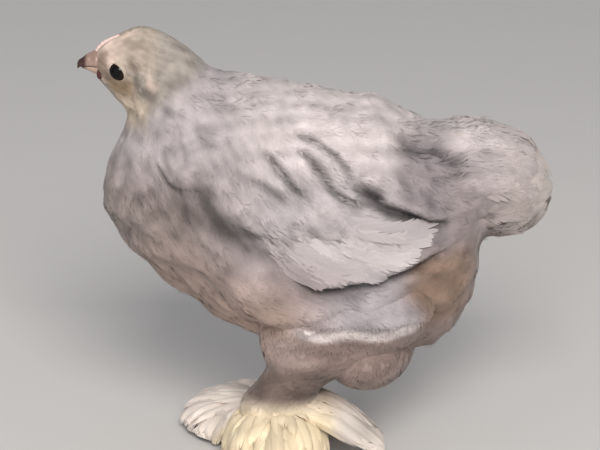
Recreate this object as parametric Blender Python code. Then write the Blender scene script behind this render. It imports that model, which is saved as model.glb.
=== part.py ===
"""A young pekin bantam with lavender plumage, standing still, at life size.

The bird faces -X, its left side is -Y and the floor is Z = 0. The trunk from the beak's root to the
tail is one tube of oval sections, parted by thin plane cuts into head, neck, torso and tail. The legs
are tubes of level oval sections. Flight, tail and foot feathers are thin curved vanes in tiers.
Sizes are in millimetres here and become metres where a shape is made.
"""

import math
from dataclasses import dataclass

import bmesh
import bpy
import numpy as np
from mathutils import Vector

MM = 0.001
GAP = 0.3
SIDES = (("left", -1.0), ("right", 1.0))


@dataclass(frozen=True)
class Section:
    """One oval cross-section of the trunk: its centre, its pitch from upright, and its reach."""

    name: str
    x: float
    z: float
    pitch: float
    side: float
    up: float
    down: float


TRUNK = (
    Section("beak root", -99.2, 190.4, 2, 4.8, 5.8, 6.6),
    Section("lores", -95.5, 190.2, 1, 7.6, 10.0, 10.4),
    Section("eyes", -90.5, 189.2, -2, 10.4, 14.2, 14.6),
    Section("crown", -82.0, 187.4, -11, 13.0, 20.6, 20.4),
    Section("nape", -73.5, 180.2, -35, 16.0, 23.4, 23.8),
    Section("neck", -66.5, 170.0, -48, 22.5, 26.6, 38.2),
    Section("neck base", -59.0, 160.0, -50, 30.5, 36.0, 50.2),
    Section("shoulder", -51.0, 150.5, -47, 38.0, 44.5, 56.6),
    Section("breast", -37.0, 134.5, -35, 46.0, 54.0, 57.5),
    Section("belly", -14.0, 122.0, -17, 50.0, 57.5, 62.0),
    Section("loin", 12.0, 116.5, -4, 49.0, 58.5, 66.0),
    Section("rump", 32.0, 116.5, 5, 44.0, 58.5, 68.0),
    Section("vent", 48.0, 120.0, 14, 38.5, 51.0, 60.0),
    Section("tail root", 62.0, 126.0, 19, 33.5, 37.5, 42.0),
    Section("tail", 74.0, 132.0, 10, 29.5, 30.0, 25.0),
    Section("tail middle", 86.0, 133.5, 2, 27.0, 26.5, 25.0),
    Section("tail end", 99.0, 132.5, 0, 21.5, 20.5, 19.0),
    Section("tail tip", 107.0, 131.5, 0, 7.0, 6.0, 6.0),
)
NECK_CUT, TORSO_CUT, TAIL_CUT, TRUNK_END = 4.0, 6.0, 13.0, 17.0
VENT_FLUFF = ((27.0, 0.0, 54.0), 22.0, (1.1, 0.86, 1.1))


@dataclass(frozen=True)
class Level:
    """One level oval of a leg: its height, its centre and its half sizes along X and Y."""

    z: float
    x: float
    y: float
    half_x: float
    half_y: float


THIGH = (
    Level(104, 22.0, 22.0, 22.0, 9.0),
    Level(93, 21.0, 29.5, 31.0, 15.5),
    Level(80, 20.0, 33.5, 34.0, 20.0),
    Level(68, 15.0, 32.0, 30.0, 18.0),
    Level(59, 4.0, 29.5, 22.0, 14.5),
    Level(52, -5.5, 27.0, 16.5, 12.5),
)
SHANK = (
    Level(52, -6.8, 26.8, 13.5, 10.5),
    Level(43, -12.5, 25.5, 10.6, 9.5),
    Level(35, -15.0, 24.5, 9.5, 8.8),
)
ANKLE = (
    Level(35, -15.0, 24.5, 9.5, 8.8),
    Level(26, -16.2, 24.2, 9.5, 9.0),
    Level(14, -16.5, 24.0, 9.0, 8.5),
    Level(5, -16.5, 24.0, 8.5, 8.0),
    Level(0, -16.5, 24.0, 7.0, 6.5),
)
STRIDE = {"left": 0.0, "right": -5.0}
STRIDE_TOP, STRIDE_BOTTOM = 80.0, 35.0
FOOT_X, FOOT_Y = -16.5, 24.0
FOOT_YAW = {"left": 32.0, "right": 2.0}
FRONT_DROP = {"left": 1.0, "right": 7.0}
FRONT_REACH = {"left": 0.22, "right": 0.38}
MEAN_REACH, OUTER_REACH = 0.86, 0.11


@dataclass(frozen=True)
class Toe:
    """One toe: its angle outwards from the foot's own line, its length and its thickness."""

    name: str
    angle: float
    length: float
    radius: float


TOES = (
    Toe("middle", 0.0, 35.0, 3.6),
    Toe("inner", -42.0, 30.0, 3.2),
    Toe("outer", 28.0, 30.0, 3.2),
    Toe("hind", 165.0, 23.0, 2.8),
)
TOE_RINGS = 5
CLAW_LENGTH = 6.0
CLAW_RADIUS = 1.45


@dataclass(frozen=True)
class BeakSection:
    """One upright section of a half beak: its place, its mouth line, its far edge, its reach."""

    x: float
    mouth: float
    edge: float
    half_width: float


UPPER_BEAK = (
    BeakSection(-99.5, 190.2, 196.0, 4.6),
    BeakSection(-101.5, 190.2, 195.4, 4.1),
    BeakSection(-103.6, 190.1, 194.4, 3.4),
    BeakSection(-105.6, 189.8, 193.0, 2.5),
    BeakSection(-107.2, 189.1, 191.3, 1.6),
    BeakSection(-108.2, 187.9, 189.4, 0.7),
)
LOWER_BEAK = (
    BeakSection(-99.5, 189.9, 185.6, 4.2),
    BeakSection(-101.5, 189.9, 186.6, 3.6),
    BeakSection(-103.4, 189.8, 187.4, 2.8),
    BeakSection(-105.0, 189.5, 188.1, 1.9),
    BeakSection(-106.2, 189.1, 188.5, 0.9),
)
EYE_PLACE, EYE_ANGLE = 2.05, 88.0
EYE_RADIUS, EYE_DEPTH = 3.0, 2.3
LID_RADIUS, LID_THICKNESS = 3.85, 0.55
LID_OPENING, LID_CORNER = 41.0, 11.0
LID_CORNER_ANGLE, LID_CORNER_SPREAD = 42.0, 0.13


@dataclass(frozen=True)
class WingStation:
    """One line across the wing on the trunk: its place, its two edges in degrees, its lift."""

    at: float
    upper: float
    lower: float
    lift: float


WING = (
    WingStation(6.45, 62, 74, 1.3),
    WingStation(7.2, 54, 83, 2.2),
    WingStation(8.2, 47, 88, 2.6),
    WingStation(9.2, 44, 90, 2.6),
    WingStation(10.1, 47, 92, 2.6),
    WingStation(10.9, 55, 95, 2.6),
    WingStation(11.5, 66, 98, 2.4),
    WingStation(11.9, 79, 101, 1.8),
)


@dataclass(frozen=True)
class WingTier:
    """A row of wing feathers, from its uppermost feather to its lowest one.

    Places along the trunk and angles in degrees are pairs, for the first and the last feather.
    """

    name: str
    count: int
    root_at: tuple
    root_angle: tuple
    tip_at: tuple
    tip_angle: tuple
    tip_lift: float
    half_width: float


WING_TIERS = (
    WingTier("flight", 7, (9.35, 8.95), (55, 84), (12.3, 10.6), (84, 95), 4.0, 5.6),
    WingTier("greater coverts", 6, (8.0, 7.8), (52, 81), (10.5, 9.3), (60, 90), 5.0, 5.2),
    WingTier("median coverts", 5, (6.95, 6.9), (57, 76), (8.9, 8.2), (52, 88), 5.4, 4.8),
)


@dataclass(frozen=True)
class TailTier:
    """A ring of tail feathers round the tail's core, with each feather's two ends and lift."""

    name: str
    count: int
    root_at: float
    tip_at: float
    tip_lift: float
    half_width: float
    phase: float


TAIL_TIERS = (
    TailTier("end", 4, 15.4, 16.95, 5.0, 7.2, 0.25),
    TailTier("main", 8, 14.2, 16.7, 4.8, 10.0, 0.0),
    TailTier("greater coverts", 8, 13.6, 15.3, 3.6, 9.8, 0.4),
    TailTier("lesser coverts", 7, 13.25, 14.3, 3.0, 10.2, 0.1),
)


@dataclass(frozen=True)
class FootTier:
    """A ring of foot feathers: where they spring, how far they arch out and where they end."""

    name: str
    count: int
    root_z: float
    reach: float
    tip_z: float
    half_width: float
    phase: float


FOOT_TIERS = (
    FootTier("lower", 7, 15.0, 27.0, 2.2, 6.4, 0.0),
    FootTier("middle", 6, 23.0, 25.0, 8.0, 6.6, 0.5),
    FootTier("upper", 5, 30.5, 20.5, 14.5, 6.2, 0.2),
)
HOCK_PATH = ((-14.0, 24.0, 25.0), (1.0, 23.0, 17.0), (17.0, 21.0, 8.0), (28.0, 19.0, 2.2))
HOCK_RADII = (5.0, 4.8, 3.6, 2.4)
HOCK_LIFTS = (1.0, 4.2, 4.0, 2.4)
HOCK_SPREADS = (3.6, 4.0, 4.3, 4.7)
HOCK_NORMAL, HOCK_SPLAY = (0.55, 0.0, 0.85), 0.5
HOCK_HALF_WIDTH, HOCK_TILT = 4.0, 0.8
HOCK_FEATHERS = 3
FOOT_ROOT = 7.2
FLAT_ANGLE = math.radians(0.4)
VANE_THICKNESS = 0.65
VANE_CAMBER = 0.7
VANE_STEPS = (0.0, 0.40, 0.78, 1.0)

EAR_PLACE, EAR_ANGLE, EAR_RADIUS = 2.9, 104.0, 2.6
COMB_START, COMB_END = 0.1, 2.3
COMB_HEIGHT, COMB_TOOTH, COMB_THICKNESS = 1.6, 0.7, 1.5
COMB_BASE, COMB_STEPS = 0.25, 12
NOSTRIL, NOSTRIL_RADIUS = (-102.0, 3.6, 193.0), 0.7
WATTLE, WATTLE_RADIUS = (-97.2, 5.0, 184.2), 2.2
GAPE_CENTRE, GAPE_SIZE = (-98.6, 0.0, 189.9), (5.4, 14.0, 0.5)
WING_EDGE_LIFT, WING_DEPTH = 0.9, 2.0
TAIL_VANE_ROOT = 2.2

MATERIALS = {
    "plumage": ((0.50, 0.44, 0.43), 0.95),
    "head_feathers": ((0.56, 0.48, 0.40), 0.95),
    "foot_feathers": ((0.72, 0.62, 0.48), 0.95),
    "beak_horn": ((0.30, 0.20, 0.15), 0.45),
    "comb_skin": ((0.72, 0.47, 0.41), 0.60),
    "eye": ((0.02, 0.012, 0.01), 0.08),
    "claw_horn": ((0.70, 0.58, 0.44), 0.40),
}


def clear_scene():
    """Removes what the startup scene holds."""
    for thing in list(bpy.data.objects):
        bpy.data.objects.remove(thing, do_unlink=True)


def material(name):
    """The named material, made once."""
    found = bpy.data.materials.get(name)
    if found:
        return found
    colour, roughness = MATERIALS[name]
    made = bpy.data.materials.new(name)
    made.use_nodes = True
    shader = made.node_tree.nodes["Principled BSDF"]
    shader.inputs["Base Color"].default_value = (*colour, 1.0)
    shader.inputs["Roughness"].default_value = roughness
    shader.inputs["Metallic"].default_value = 0.0
    made.diffuse_color = (*colour, 1.0)
    return made


def place(name, mesh, collection):
    """An object that holds the mesh. In a hidden collection it's a cutter, drawn as wire."""
    made = bpy.data.objects.new(name, mesh)
    collection.objects.link(made)
    if collection.hide_render:
        made.hide_render = True
        made.display_type = "WIRE"
    return made


def add_object(name, points, faces, finish, collection):
    """A mesh object from points in millimetres, with its faces turned outwards."""
    mesh = bpy.data.meshes.new(name)
    mesh.from_pydata((np.asarray(points, float) * MM).tolist(), [], faces)
    shape = bmesh.new()
    shape.from_mesh(mesh)
    bmesh.ops.recalc_face_normals(shape, faces=shape.faces[:])
    shape.to_mesh(mesh)
    shape.free()
    mesh.materials.append(material(finish))
    return place(name, mesh, collection)


def loft(name, rings, finish, collection):
    """A closed body through rings of points, each end closed by a fan round its middle."""
    rings = np.asarray(rings, float)
    count, around = rings.shape[:2]
    points = rings.reshape(-1, 3).tolist()
    points += [rings[0].mean(0).tolist(), rings[-1].mean(0).tolist()]
    faces = []
    for i in range(count - 1):
        for j in range(around):
            k = (j + 1) % around
            faces.append((i * around + j, i * around + k, (i + 1) * around + k, (i + 1) * around + j))
    first, last = count * around, count * around + 1
    top = (count - 1) * around
    for j in range(around):
        k = (j + 1) % around
        faces.append((first, k, j))
        faces.append((last, top + j, top + k))
    return add_object(name, points, faces, finish, collection)


def smooth_values(rows, at):
    """Catmull-Rom interpolation of the rows at a place counted in rows."""
    rows = np.asarray(rows, float)
    i = min(max(int(math.floor(at)), 0), len(rows) - 2)
    t = at - i
    before, start = rows[max(i - 1, 0)], rows[i]
    end, after = rows[i + 1], rows[min(i + 2, len(rows) - 1)]
    return 0.5 * (
        2 * start
        + (end - before) * t
        + (2 * before - 5 * start + 4 * end - after) * t**2
        + (3 * start - before - 3 * end + after) * t**3
    )


TRUNK_ROWS = [(s.x, s.z, s.pitch, s.side, s.up, s.down) for s in TRUNK]


def trunk_frame(at):
    """(centre, travel direction, up direction, side, up, down) of the trunk at a place."""
    x, z, pitch, side, up, down = smooth_values(TRUNK_ROWS, at)
    turn = math.radians(pitch)
    travel = np.array([math.cos(turn), 0.0, math.sin(turn)])
    rise = np.array([-math.sin(turn), 0.0, math.cos(turn)])
    return np.array([x, 0.0, z]), travel, rise, side, up, down


def trunk_point(at, angle, grow=0.0):
    """A point of the trunk's surface. Angle 0 is the top and a quarter turn is the left side."""
    centre, _, rise, side, up, down = trunk_frame(at)
    lift = math.cos(angle)
    height = (up if lift > 0 else down) + grow
    across = side + grow
    return centre + rise * height * lift + np.array([0.0, -1.0, 0.0]) * across * math.sin(angle)


def trunk_rings(start, end, rings, around, first_gap=0.0, grow=0.0):
    """Rings of the trunk between two places, the first ring moved along it to leave a gap."""
    made = []
    for i in range(rings):
        at = start + (end - start) * i / (rings - 1)
        offset = trunk_frame(at)[1] * (first_gap if i == 0 else 0.0)
        made.append([trunk_point(at, 2 * math.pi * j / around, grow) + offset for j in range(around)])
    return made


def apply_boolean(target, operation, collection=None, other=None, solver="EXACT"):
    """Applies one Boolean to the target, with a collection or one object, and keeps the result."""
    modifier = target.modifiers.new("join", "BOOLEAN")
    modifier.operation = operation
    modifier.solver = solver
    if collection:
        modifier.operand_type = "COLLECTION"
        modifier.collection = collection
    else:
        modifier.object = other
    graph = bpy.context.evaluated_depsgraph_get()
    mesh = bpy.data.meshes.new_from_object(target.evaluated_get(graph))
    target.modifiers.remove(modifier)
    old = target.data
    target.data = mesh
    bpy.data.meshes.remove(old)
    keep_largest(mesh)


def keep_largest(mesh):
    """Merges flat neighbours and leaves only the closed surface that holds the largest volume."""
    shape = bmesh.new()
    shape.from_mesh(mesh)
    bmesh.ops.dissolve_limit(
        shape, angle_limit=FLAT_ANGLE, verts=shape.verts[:], edges=shape.edges[:]
    )
    bmesh.ops.triangulate(shape, faces=shape.faces[:])
    unseen, islands = set(shape.faces), []
    while unseen:
        seed = unseen.pop()
        island, queue = [seed], [seed]
        while queue:
            for edge in queue.pop().edges:
                for face in edge.link_faces:
                    if face in unseen:
                        unseen.discard(face)
                        island.append(face)
                        queue.append(face)
        islands.append(island)

    def volume(island):
        total = 0.0
        for face in island:
            a, b, c = (v.co for v in face.verts)
            total += a.dot(b.cross(c)) / 6
        return total

    islands.sort(key=volume, reverse=True)
    doomed = {v for island in islands[1:] for face in island for v in face.verts}
    bmesh.ops.delete(shape, geom=list(doomed), context="VERTS")
    shape.to_mesh(mesh)
    shape.free()


def fuse(base, pieces, solver="MANIFOLD"):
    """Joins the pieces to the base as one closed body and removes them."""
    group = bpy.data.collections.new(base.name + " pieces")
    bpy.context.scene.collection.children.link(group)
    for piece in pieces:
        for owner in list(piece.users_collection):
            owner.objects.unlink(piece)
        group.objects.link(piece)
    apply_boolean(base, "UNION", collection=group, solver=solver)
    for piece in list(group.objects):
        bpy.data.objects.remove(piece, do_unlink=True)
    bpy.data.collections.remove(group)


def cut_away(target, cutters, solver="EXACT"):
    """Cuts each cutter from the target."""
    for cutter in cutters:
        apply_boolean(target, "DIFFERENCE", other=cutter, solver=solver)


def plate(name, top, normals, thickness, finish, collection):
    """A closed thin vane. Both faces are split into triangles alike, so that they never cross."""
    top = np.asarray(top, float)
    under = top - np.asarray(normals, float) * np.asarray(thickness)[:, None, None]
    rows, columns = top.shape[:2]
    points = np.concatenate([top.reshape(-1, 3), under.reshape(-1, 3)])
    lower = rows * columns
    faces = []
    for i in range(rows - 1):
        for j in range(columns - 1):
            a, b = i * columns + j, i * columns + j + 1
            c, d = a + columns, b + columns
            faces += [(a, b, d), (a, d, c)]
            faces += [(lower + a, lower + d, lower + b), (lower + a, lower + c, lower + d)]
    rim = [i * columns for i in range(rows)]
    rim += [(rows - 1) * columns + j for j in range(1, columns)]
    rim += [i * columns + columns - 1 for i in range(rows - 2, -1, -1)]
    rim += list(range(columns - 2, 0, -1))
    for a, b in zip(rim, rim[1:] + rim[:1]):
        faces += [(a, lower + b, b), (a, lower + a, lower + b)]
    return add_object(name, points, faces, finish, collection)


def vane_outline(step):
    """A vane's half width at a step, as a share: half at the root, full, then a blunt tip."""
    widening = 0.5 + 0.5 * min(step / 0.35, 1.0)
    narrowing = math.sqrt(1.0 - 0.9 * max((step - 0.6) / 0.4, 0.0) ** 2)
    return widening * narrowing


def vane(name, path, normals, half_width, tilt, finish, collection):
    """A vane along a path, facing the normals, its middle above its edges as a real shaft stands.

    The tilt raises the edge on one side and lowers the other, so that neighbours overlap.
    """
    path, normals = np.asarray(path, float), np.asarray(normals, float)
    along = np.gradient(path, axis=0)
    along /= np.linalg.norm(along, axis=1, keepdims=True)
    across = np.cross(normals, along)
    across /= np.linalg.norm(across, axis=1, keepdims=True)
    face = np.cross(along, across)
    share = np.array([vane_outline(step) for step in VANE_STEPS])[:, None]
    reach = across * half_width * share
    drop = face * VANE_CAMBER * share
    lean = face * tilt * share
    top = np.stack([path - reach - drop - lean, path, path + reach - drop + lean], axis=1)
    facing = np.repeat(face[:, None, :], 3, axis=1)
    thickness = VANE_THICKNESS * (1.0 - 0.2 * np.asarray(VANE_STEPS))
    return plate(name, top, facing, thickness, finish, collection)


def trunk_normal(at, angle):
    """The direction out of the trunk's surface at a place."""
    ahead = trunk_point(at + 0.05, angle) - trunk_point(at - 0.05, angle)
    around = trunk_point(at, angle + 0.05) - trunk_point(at, angle - 0.05)
    normal = np.cross(around, ahead)
    return normal / np.linalg.norm(normal)


def trunk_vane(name, start, end, bow, lifts, half_width, tilt, sign, collection):
    """A vane laid on the trunk from one (place, angle in degrees) to another, rising to its tip."""
    path, normals = [], []
    for step in VANE_STEPS:
        at = start[0] + (end[0] - start[0]) * step
        degrees = start[1] + (end[1] - start[1]) * step + bow * math.sin(math.pi * step)
        angle = math.radians(degrees) * -sign
        lift = lifts[0] + (lifts[1] - lifts[0]) * step**0.6
        path.append(trunk_point(at, angle, grow=lift))
        normals.append(trunk_normal(at, angle))
    return vane(name, path, normals, half_width, tilt * -sign, "plumage", collection)


def round_point(index, around):
    """Cosine and sine of one of the points around a circle."""
    turn = 2 * math.pi * index / around
    return math.cos(turn), math.sin(turn)


def leg_centre(z, side):
    """How far along X the stride moves a leg at a height."""
    share = min(max((STRIDE_TOP - z) / (STRIDE_TOP - STRIDE_BOTTOM), 0.0), 1.0)
    return STRIDE[side] * share * share * (3 - 2 * share)


def level_rings(levels, side, sign, rings, around, low=0.0, high=0.0):
    """Rings of level ovals, from the top level down, the end rings moved in by the gaps."""
    rows = [(v.z, v.x, v.y, v.half_x, v.half_y) for v in levels]
    made = []
    for i in range(rings):
        z, x, y, half_x, half_y = smooth_values(rows, (len(rows) - 1) * i / (rings - 1))
        z -= high if i == 0 else 0.0
        z += low if i == rings - 1 else 0.0
        x += leg_centre(z, side)
        ring = []
        for j in range(around):
            c, s = round_point(j, around)
            ring.append((x + half_x * c, sign * (y + half_y * s), z))
        made.append(ring)
    return made


def tube_rings(path, radii, around, flat=None):
    """Round rings along a path. A flat height presses what would be lower onto it."""
    path = np.asarray(path, float)
    along = np.gradient(path, axis=0)
    along /= np.linalg.norm(along, axis=1, keepdims=True)
    made = []
    for centre, travel, radius in zip(path, along, radii):
        side = np.cross((0.0, 0.0, 1.0), travel)
        side /= np.linalg.norm(side)
        rise = np.cross(travel, side)
        ring = []
        for j in range(around):
            c, s = round_point(j, around)
            point = centre + side * radius * c + rise * radius * s
            if flat is not None:
                point[2] = max(point[2], flat)
            ring.append(point)
        made.append(ring)
    return made


def foot_point(side, sign, forward, outward, z):
    """A point of the floor plan of a foot, turned with it, at a height."""
    yaw = math.radians(FOOT_YAW[side])
    along = forward * math.cos(yaw) - outward * math.sin(yaw)
    across = forward * math.sin(yaw) + outward * math.cos(yaw)
    return np.array([FOOT_X + STRIDE[side] - along, sign * (FOOT_Y + across), z])


def clearances(work):
    """The torso and its vent fluff made larger by a little over the gap, to clear neighbours."""
    rings = trunk_rings(TORSO_CUT, TAIL_CUT, 14, 24, grow=GAP + 0.1)
    centre, radius, scale = VENT_FLUFF
    return [
        loft("torso clearance", rings, "plumage", work),
        sphere("fluff clearance", centre, radius + 1.3 * GAP, scale, "plumage", work, 16, 9),
    ]


def grown_head(work):
    """The head's front made larger all round by a little over the gap."""
    rings = trunk_rings(0.0, NECK_CUT, 12, 20, grow=GAP + 0.05)
    return loft("head clearance", rings, "plumage", work)


def build_trunk(nodes, work):
    """Torso with the fluff that hangs under the vent, and neck."""
    torso_rings = trunk_rings(TORSO_CUT, TAIL_CUT, 14, 24, first_gap=GAP)
    torso = loft("torso", torso_rings, "plumage", nodes)
    centre, radius, scale = VENT_FLUFF
    fuse(torso, [sphere("vent fluff", centre, radius, scale, "plumage", work, 16, 9)])
    loft("neck", trunk_rings(NECK_CUT, TORSO_CUT, 6, 24, first_gap=GAP), "plumage", nodes)


def build_tail(nodes, work):
    """The tail's core with its rings of overlapping feathers, coverts over the main ones."""
    rng = np.random.default_rng(11)
    tail_rings = trunk_rings(TAIL_CUT, TRUNK_END, 8, 20, first_gap=GAP)
    tail = loft("tail", tail_rings, "plumage", nodes)
    vanes = []
    for tier in TAIL_TIERS:
        for k in range(tier.count):
            degrees = 360.0 * (k + tier.phase) / tier.count + rng.uniform(-2.5, 2.5)
            tip_at = tier.tip_at + rng.uniform(-0.14, 0.1)
            half_width = tier.half_width * rng.uniform(0.92, 1.08)
            tilt = rng.uniform(0.9, 1.4)
            lifts = (-TAIL_VANE_ROOT, tier.tip_lift * rng.uniform(0.85, 1.1))
            start, end = (tier.root_at, degrees), (tip_at, degrees + rng.uniform(-4.0, 4.0))
            name = f"{tier.name} {k}"
            vanes.append(trunk_vane(name, start, end, 0.0, lifts, half_width, tilt, 1.0, work))
    fuse(tail, vanes)


def eye_frame(sign):
    """(centre, outward direction) of an eye."""
    angle = math.radians(EYE_ANGLE) * -sign
    point = trunk_point(EYE_PLACE, angle)
    ahead = trunk_point(EYE_PLACE + 0.1, angle) - trunk_point(EYE_PLACE - 0.1, angle)
    around = trunk_point(EYE_PLACE, angle + 0.1) - trunk_point(EYE_PLACE, angle - 0.1)
    outward = np.cross(ahead, around)
    outward *= math.copysign(1.0, outward[1] * sign) / np.linalg.norm(outward)
    return point - outward * EYE_DEPTH, outward


def sphere(name, centre, radius, scale, finish, collection, segments=14, rings=8):
    """A ball, or an ellipsoid by its scale, with its place in the mesh."""
    shape = bmesh.new()
    bmesh.ops.create_uvsphere(shape, u_segments=segments, v_segments=rings, radius=radius * MM)
    for vertex in shape.verts:
        vertex.co = Vector(np.asarray(vertex.co) * scale + np.asarray(centre) * MM)
    mesh = bpy.data.meshes.new(name)
    shape.to_mesh(mesh)
    shape.free()
    mesh.materials.append(material(finish))
    return place(name, mesh, collection)


def lid_ring(sign, work):
    """The eyelids: a thin ring round the opening, drawn out to a corner in front and above."""
    centre, outward = eye_frame(sign)
    front = np.array([-1.0, 0.0, 0.0])
    front -= outward * front.dot(outward)
    front /= np.linalg.norm(front)
    up = np.cross(outward, front) * sign
    up *= math.copysign(1.0, up[2])
    around, section = 16, 5
    points, faces = [], []
    for i in range(around):
        turn = 2 * math.pi * i / around
        off_corner = (turn - math.radians(LID_CORNER_ANGLE) + math.pi) % (2 * math.pi) - math.pi
        corner = math.exp(-(off_corner**2) / LID_CORNER_SPREAD)
        opening = math.radians(LID_OPENING + LID_CORNER * corner)
        radial = front * math.cos(turn) + up * math.sin(turn)
        away = radial * math.sin(opening) + outward * math.cos(opening)
        middle = centre + LID_RADIUS * away
        sideways = radial * math.cos(opening) - outward * math.sin(opening)
        for j in range(section):
            c, s = round_point(j, section)
            points.append(middle + away * LID_THICKNESS * c + sideways * LID_THICKNESS * 1.5 * s)
    for i in range(around):
        k = (i + 1) % around
        for j in range(section):
            m = (j + 1) % section
            faces.append((i * section + j, i * section + m, k * section + m, k * section + j))
    return add_object("lid", points, faces, "head_feathers", work)


def build_head(nodes, work):
    """Head with its eye sockets, lids, ears and the corner of the mouth, and the eyes."""
    head = loft("head", trunk_rings(0.0, NECK_CUT, 12, 20), "head_feathers", nodes)
    lids, cutters = [], []
    for side, sign in SIDES:
        centre, outward = eye_frame(sign)
        lids.append(lid_ring(sign, work))
        ear = trunk_point(EAR_PLACE, math.radians(EAR_ANGLE) * -sign)
        lids.append(sphere("ear", ear, EAR_RADIUS, (1.0, 0.5, 1.3), "head_feathers", work, 9, 5))
        cutters.append(sphere("socket", centre, EYE_RADIUS + GAP, (1, 1, 1), "eye", work, 12, 7))
        sphere(f"eye_{side}", centre, EYE_RADIUS, (1, 1, 1), "eye", nodes)
    fuse(head, lids)
    cutters.append(box("gape", GAPE_CENTRE, GAPE_SIZE, work))
    cut_away(head, cutters)
    remove_all(cutters)


def remove_all(things):
    """Removes cutters that have done their work."""
    for thing in things:
        bpy.data.objects.remove(thing, do_unlink=True)


def box(name, centre, size, collection):
    """A box cutter, by its middle and its full size."""
    shape = bmesh.new()
    bmesh.ops.create_cube(shape, size=MM)
    for vertex in shape.verts:
        vertex.co = Vector(np.asarray(vertex.co) * size + np.asarray(centre) * MM)
    mesh = bpy.data.meshes.new(name)
    shape.to_mesh(mesh)
    shape.free()
    return place(name, mesh, collection)


def beak_rings(sections, sign):
    """Rings of a half beak, flat along the mouth line and rounded away from it."""
    _, travel, rise, *_ = trunk_frame(0.0)
    root = trunk_frame(0.0)[0] - travel * GAP
    made = []
    for i, part in enumerate(sections):
        ring = []
        for j in range(7):
            turn = math.pi * j / 6
            reach = abs(part.edge - part.mouth) * math.sin(turn) ** 0.85
            ring.append([part.x, part.half_width * math.cos(turn), part.mouth + sign * reach])
        ring.append([part.x, 0.0, part.mouth])
        for point in ring:
            if i == 0:
                point[0] = root[0] + (point[2] - root[2]) * rise[0] / rise[2]
        made.append(ring)
    return made


def build_beak(nodes, work):
    """Both halves of the beak, with the nostrils cut into the upper one."""
    upper = loft("beak_upper", beak_rings(UPPER_BEAK, 1.0), "beak_horn", nodes)
    loft("beak_lower", beak_rings(LOWER_BEAK, -1.0), "beak_horn", nodes)
    x, y, z = NOSTRIL
    nostrils = [
        sphere("nostril", (x, sign * y, z), NOSTRIL_RADIUS, (1.5, 1.0, 0.7), "eye", work, 8, 6)
        for _, sign in SIDES
    ]
    cut_away(upper, nostrils)
    remove_all(nostrils)


def build_wattles(nodes, work):
    """The two small wattles, cut clear of the head."""
    clearance = grown_head(work)
    x, y, z = WATTLE
    for side, sign in SIDES:
        centre, scale = (x, sign * y, z), (1.1, 0.6, 1.2)
        wattle = sphere(f"wattle_{side}", centre, WATTLE_RADIUS, scale, "comb_skin", nodes, 12, 8)
        cut_away(wattle, [clearance])
    remove_all([clearance])


def comb_outline():
    """The comb's side view: along the forehead, then back over its low points."""
    foot, crest = [], []
    for i in range(COMB_STEPS + 1):
        share = i / COMB_STEPS
        inside = 0 < i < COMB_STEPS
        place_on_head = COMB_START + (COMB_END - COMB_START) * share
        low = trunk_point(place_on_head, 0.0, grow=GAP + 0.05)
        arch = math.sin(math.pi * min(share * 1.25, 1.0) ** 0.8) ** 0.5 if inside else COMB_BASE
        tooth = COMB_TOOTH if inside and i % 2 else 0.0
        foot.append(low)
        crest.append(low + np.array([-0.15, 0.0, 1.0]) * (COMB_BASE + COMB_HEIGHT * arch + tooth))
    return [(p[0], p[2]) for p in foot + crest[::-1]]


def build_comb(nodes):
    """The low comb along the forehead: its side view drawn as a flat curve with a thickness."""
    outline = comb_outline()
    flat = bpy.data.curves.new("comb", "CURVE")
    flat.dimensions = "2D"
    flat.fill_mode = "BOTH"
    flat.extrude = COMB_THICKNESS / 2 * MM
    spline = flat.splines.new("POLY")
    spline.points.add(len(outline) - 1)
    for point, (x, z) in zip(spline.points, outline):
        point.co = (x * MM, z * MM, 0.0, 1.0)
    spline.use_cyclic_u = True
    drawn = bpy.data.objects.new("comb outline", flat)
    drawn.rotation_euler = (math.pi / 2, 0.0, 0.0)
    curve_to_mesh(drawn, "comb", "comb_skin", nodes)


def curve_to_mesh(drawn, name, finish, collection):
    """Replaces a curve object by a welded mesh in world places."""
    bpy.context.scene.collection.objects.link(drawn)
    bpy.context.view_layer.update()
    graph = bpy.context.evaluated_depsgraph_get()
    mesh = bpy.data.meshes.new_from_object(drawn.evaluated_get(graph))
    mesh.transform(drawn.matrix_world)
    bpy.data.objects.remove(drawn, do_unlink=True)
    shape = bmesh.new()
    shape.from_mesh(mesh)
    bmesh.ops.remove_doubles(shape, verts=shape.verts[:], dist=1e-6)
    bmesh.ops.recalc_face_normals(shape, faces=shape.faces[:])
    shape.to_mesh(mesh)
    shape.free()
    mesh.name = name
    mesh.materials.clear()
    mesh.materials.append(material(finish))
    return place(name, mesh, collection)


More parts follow.
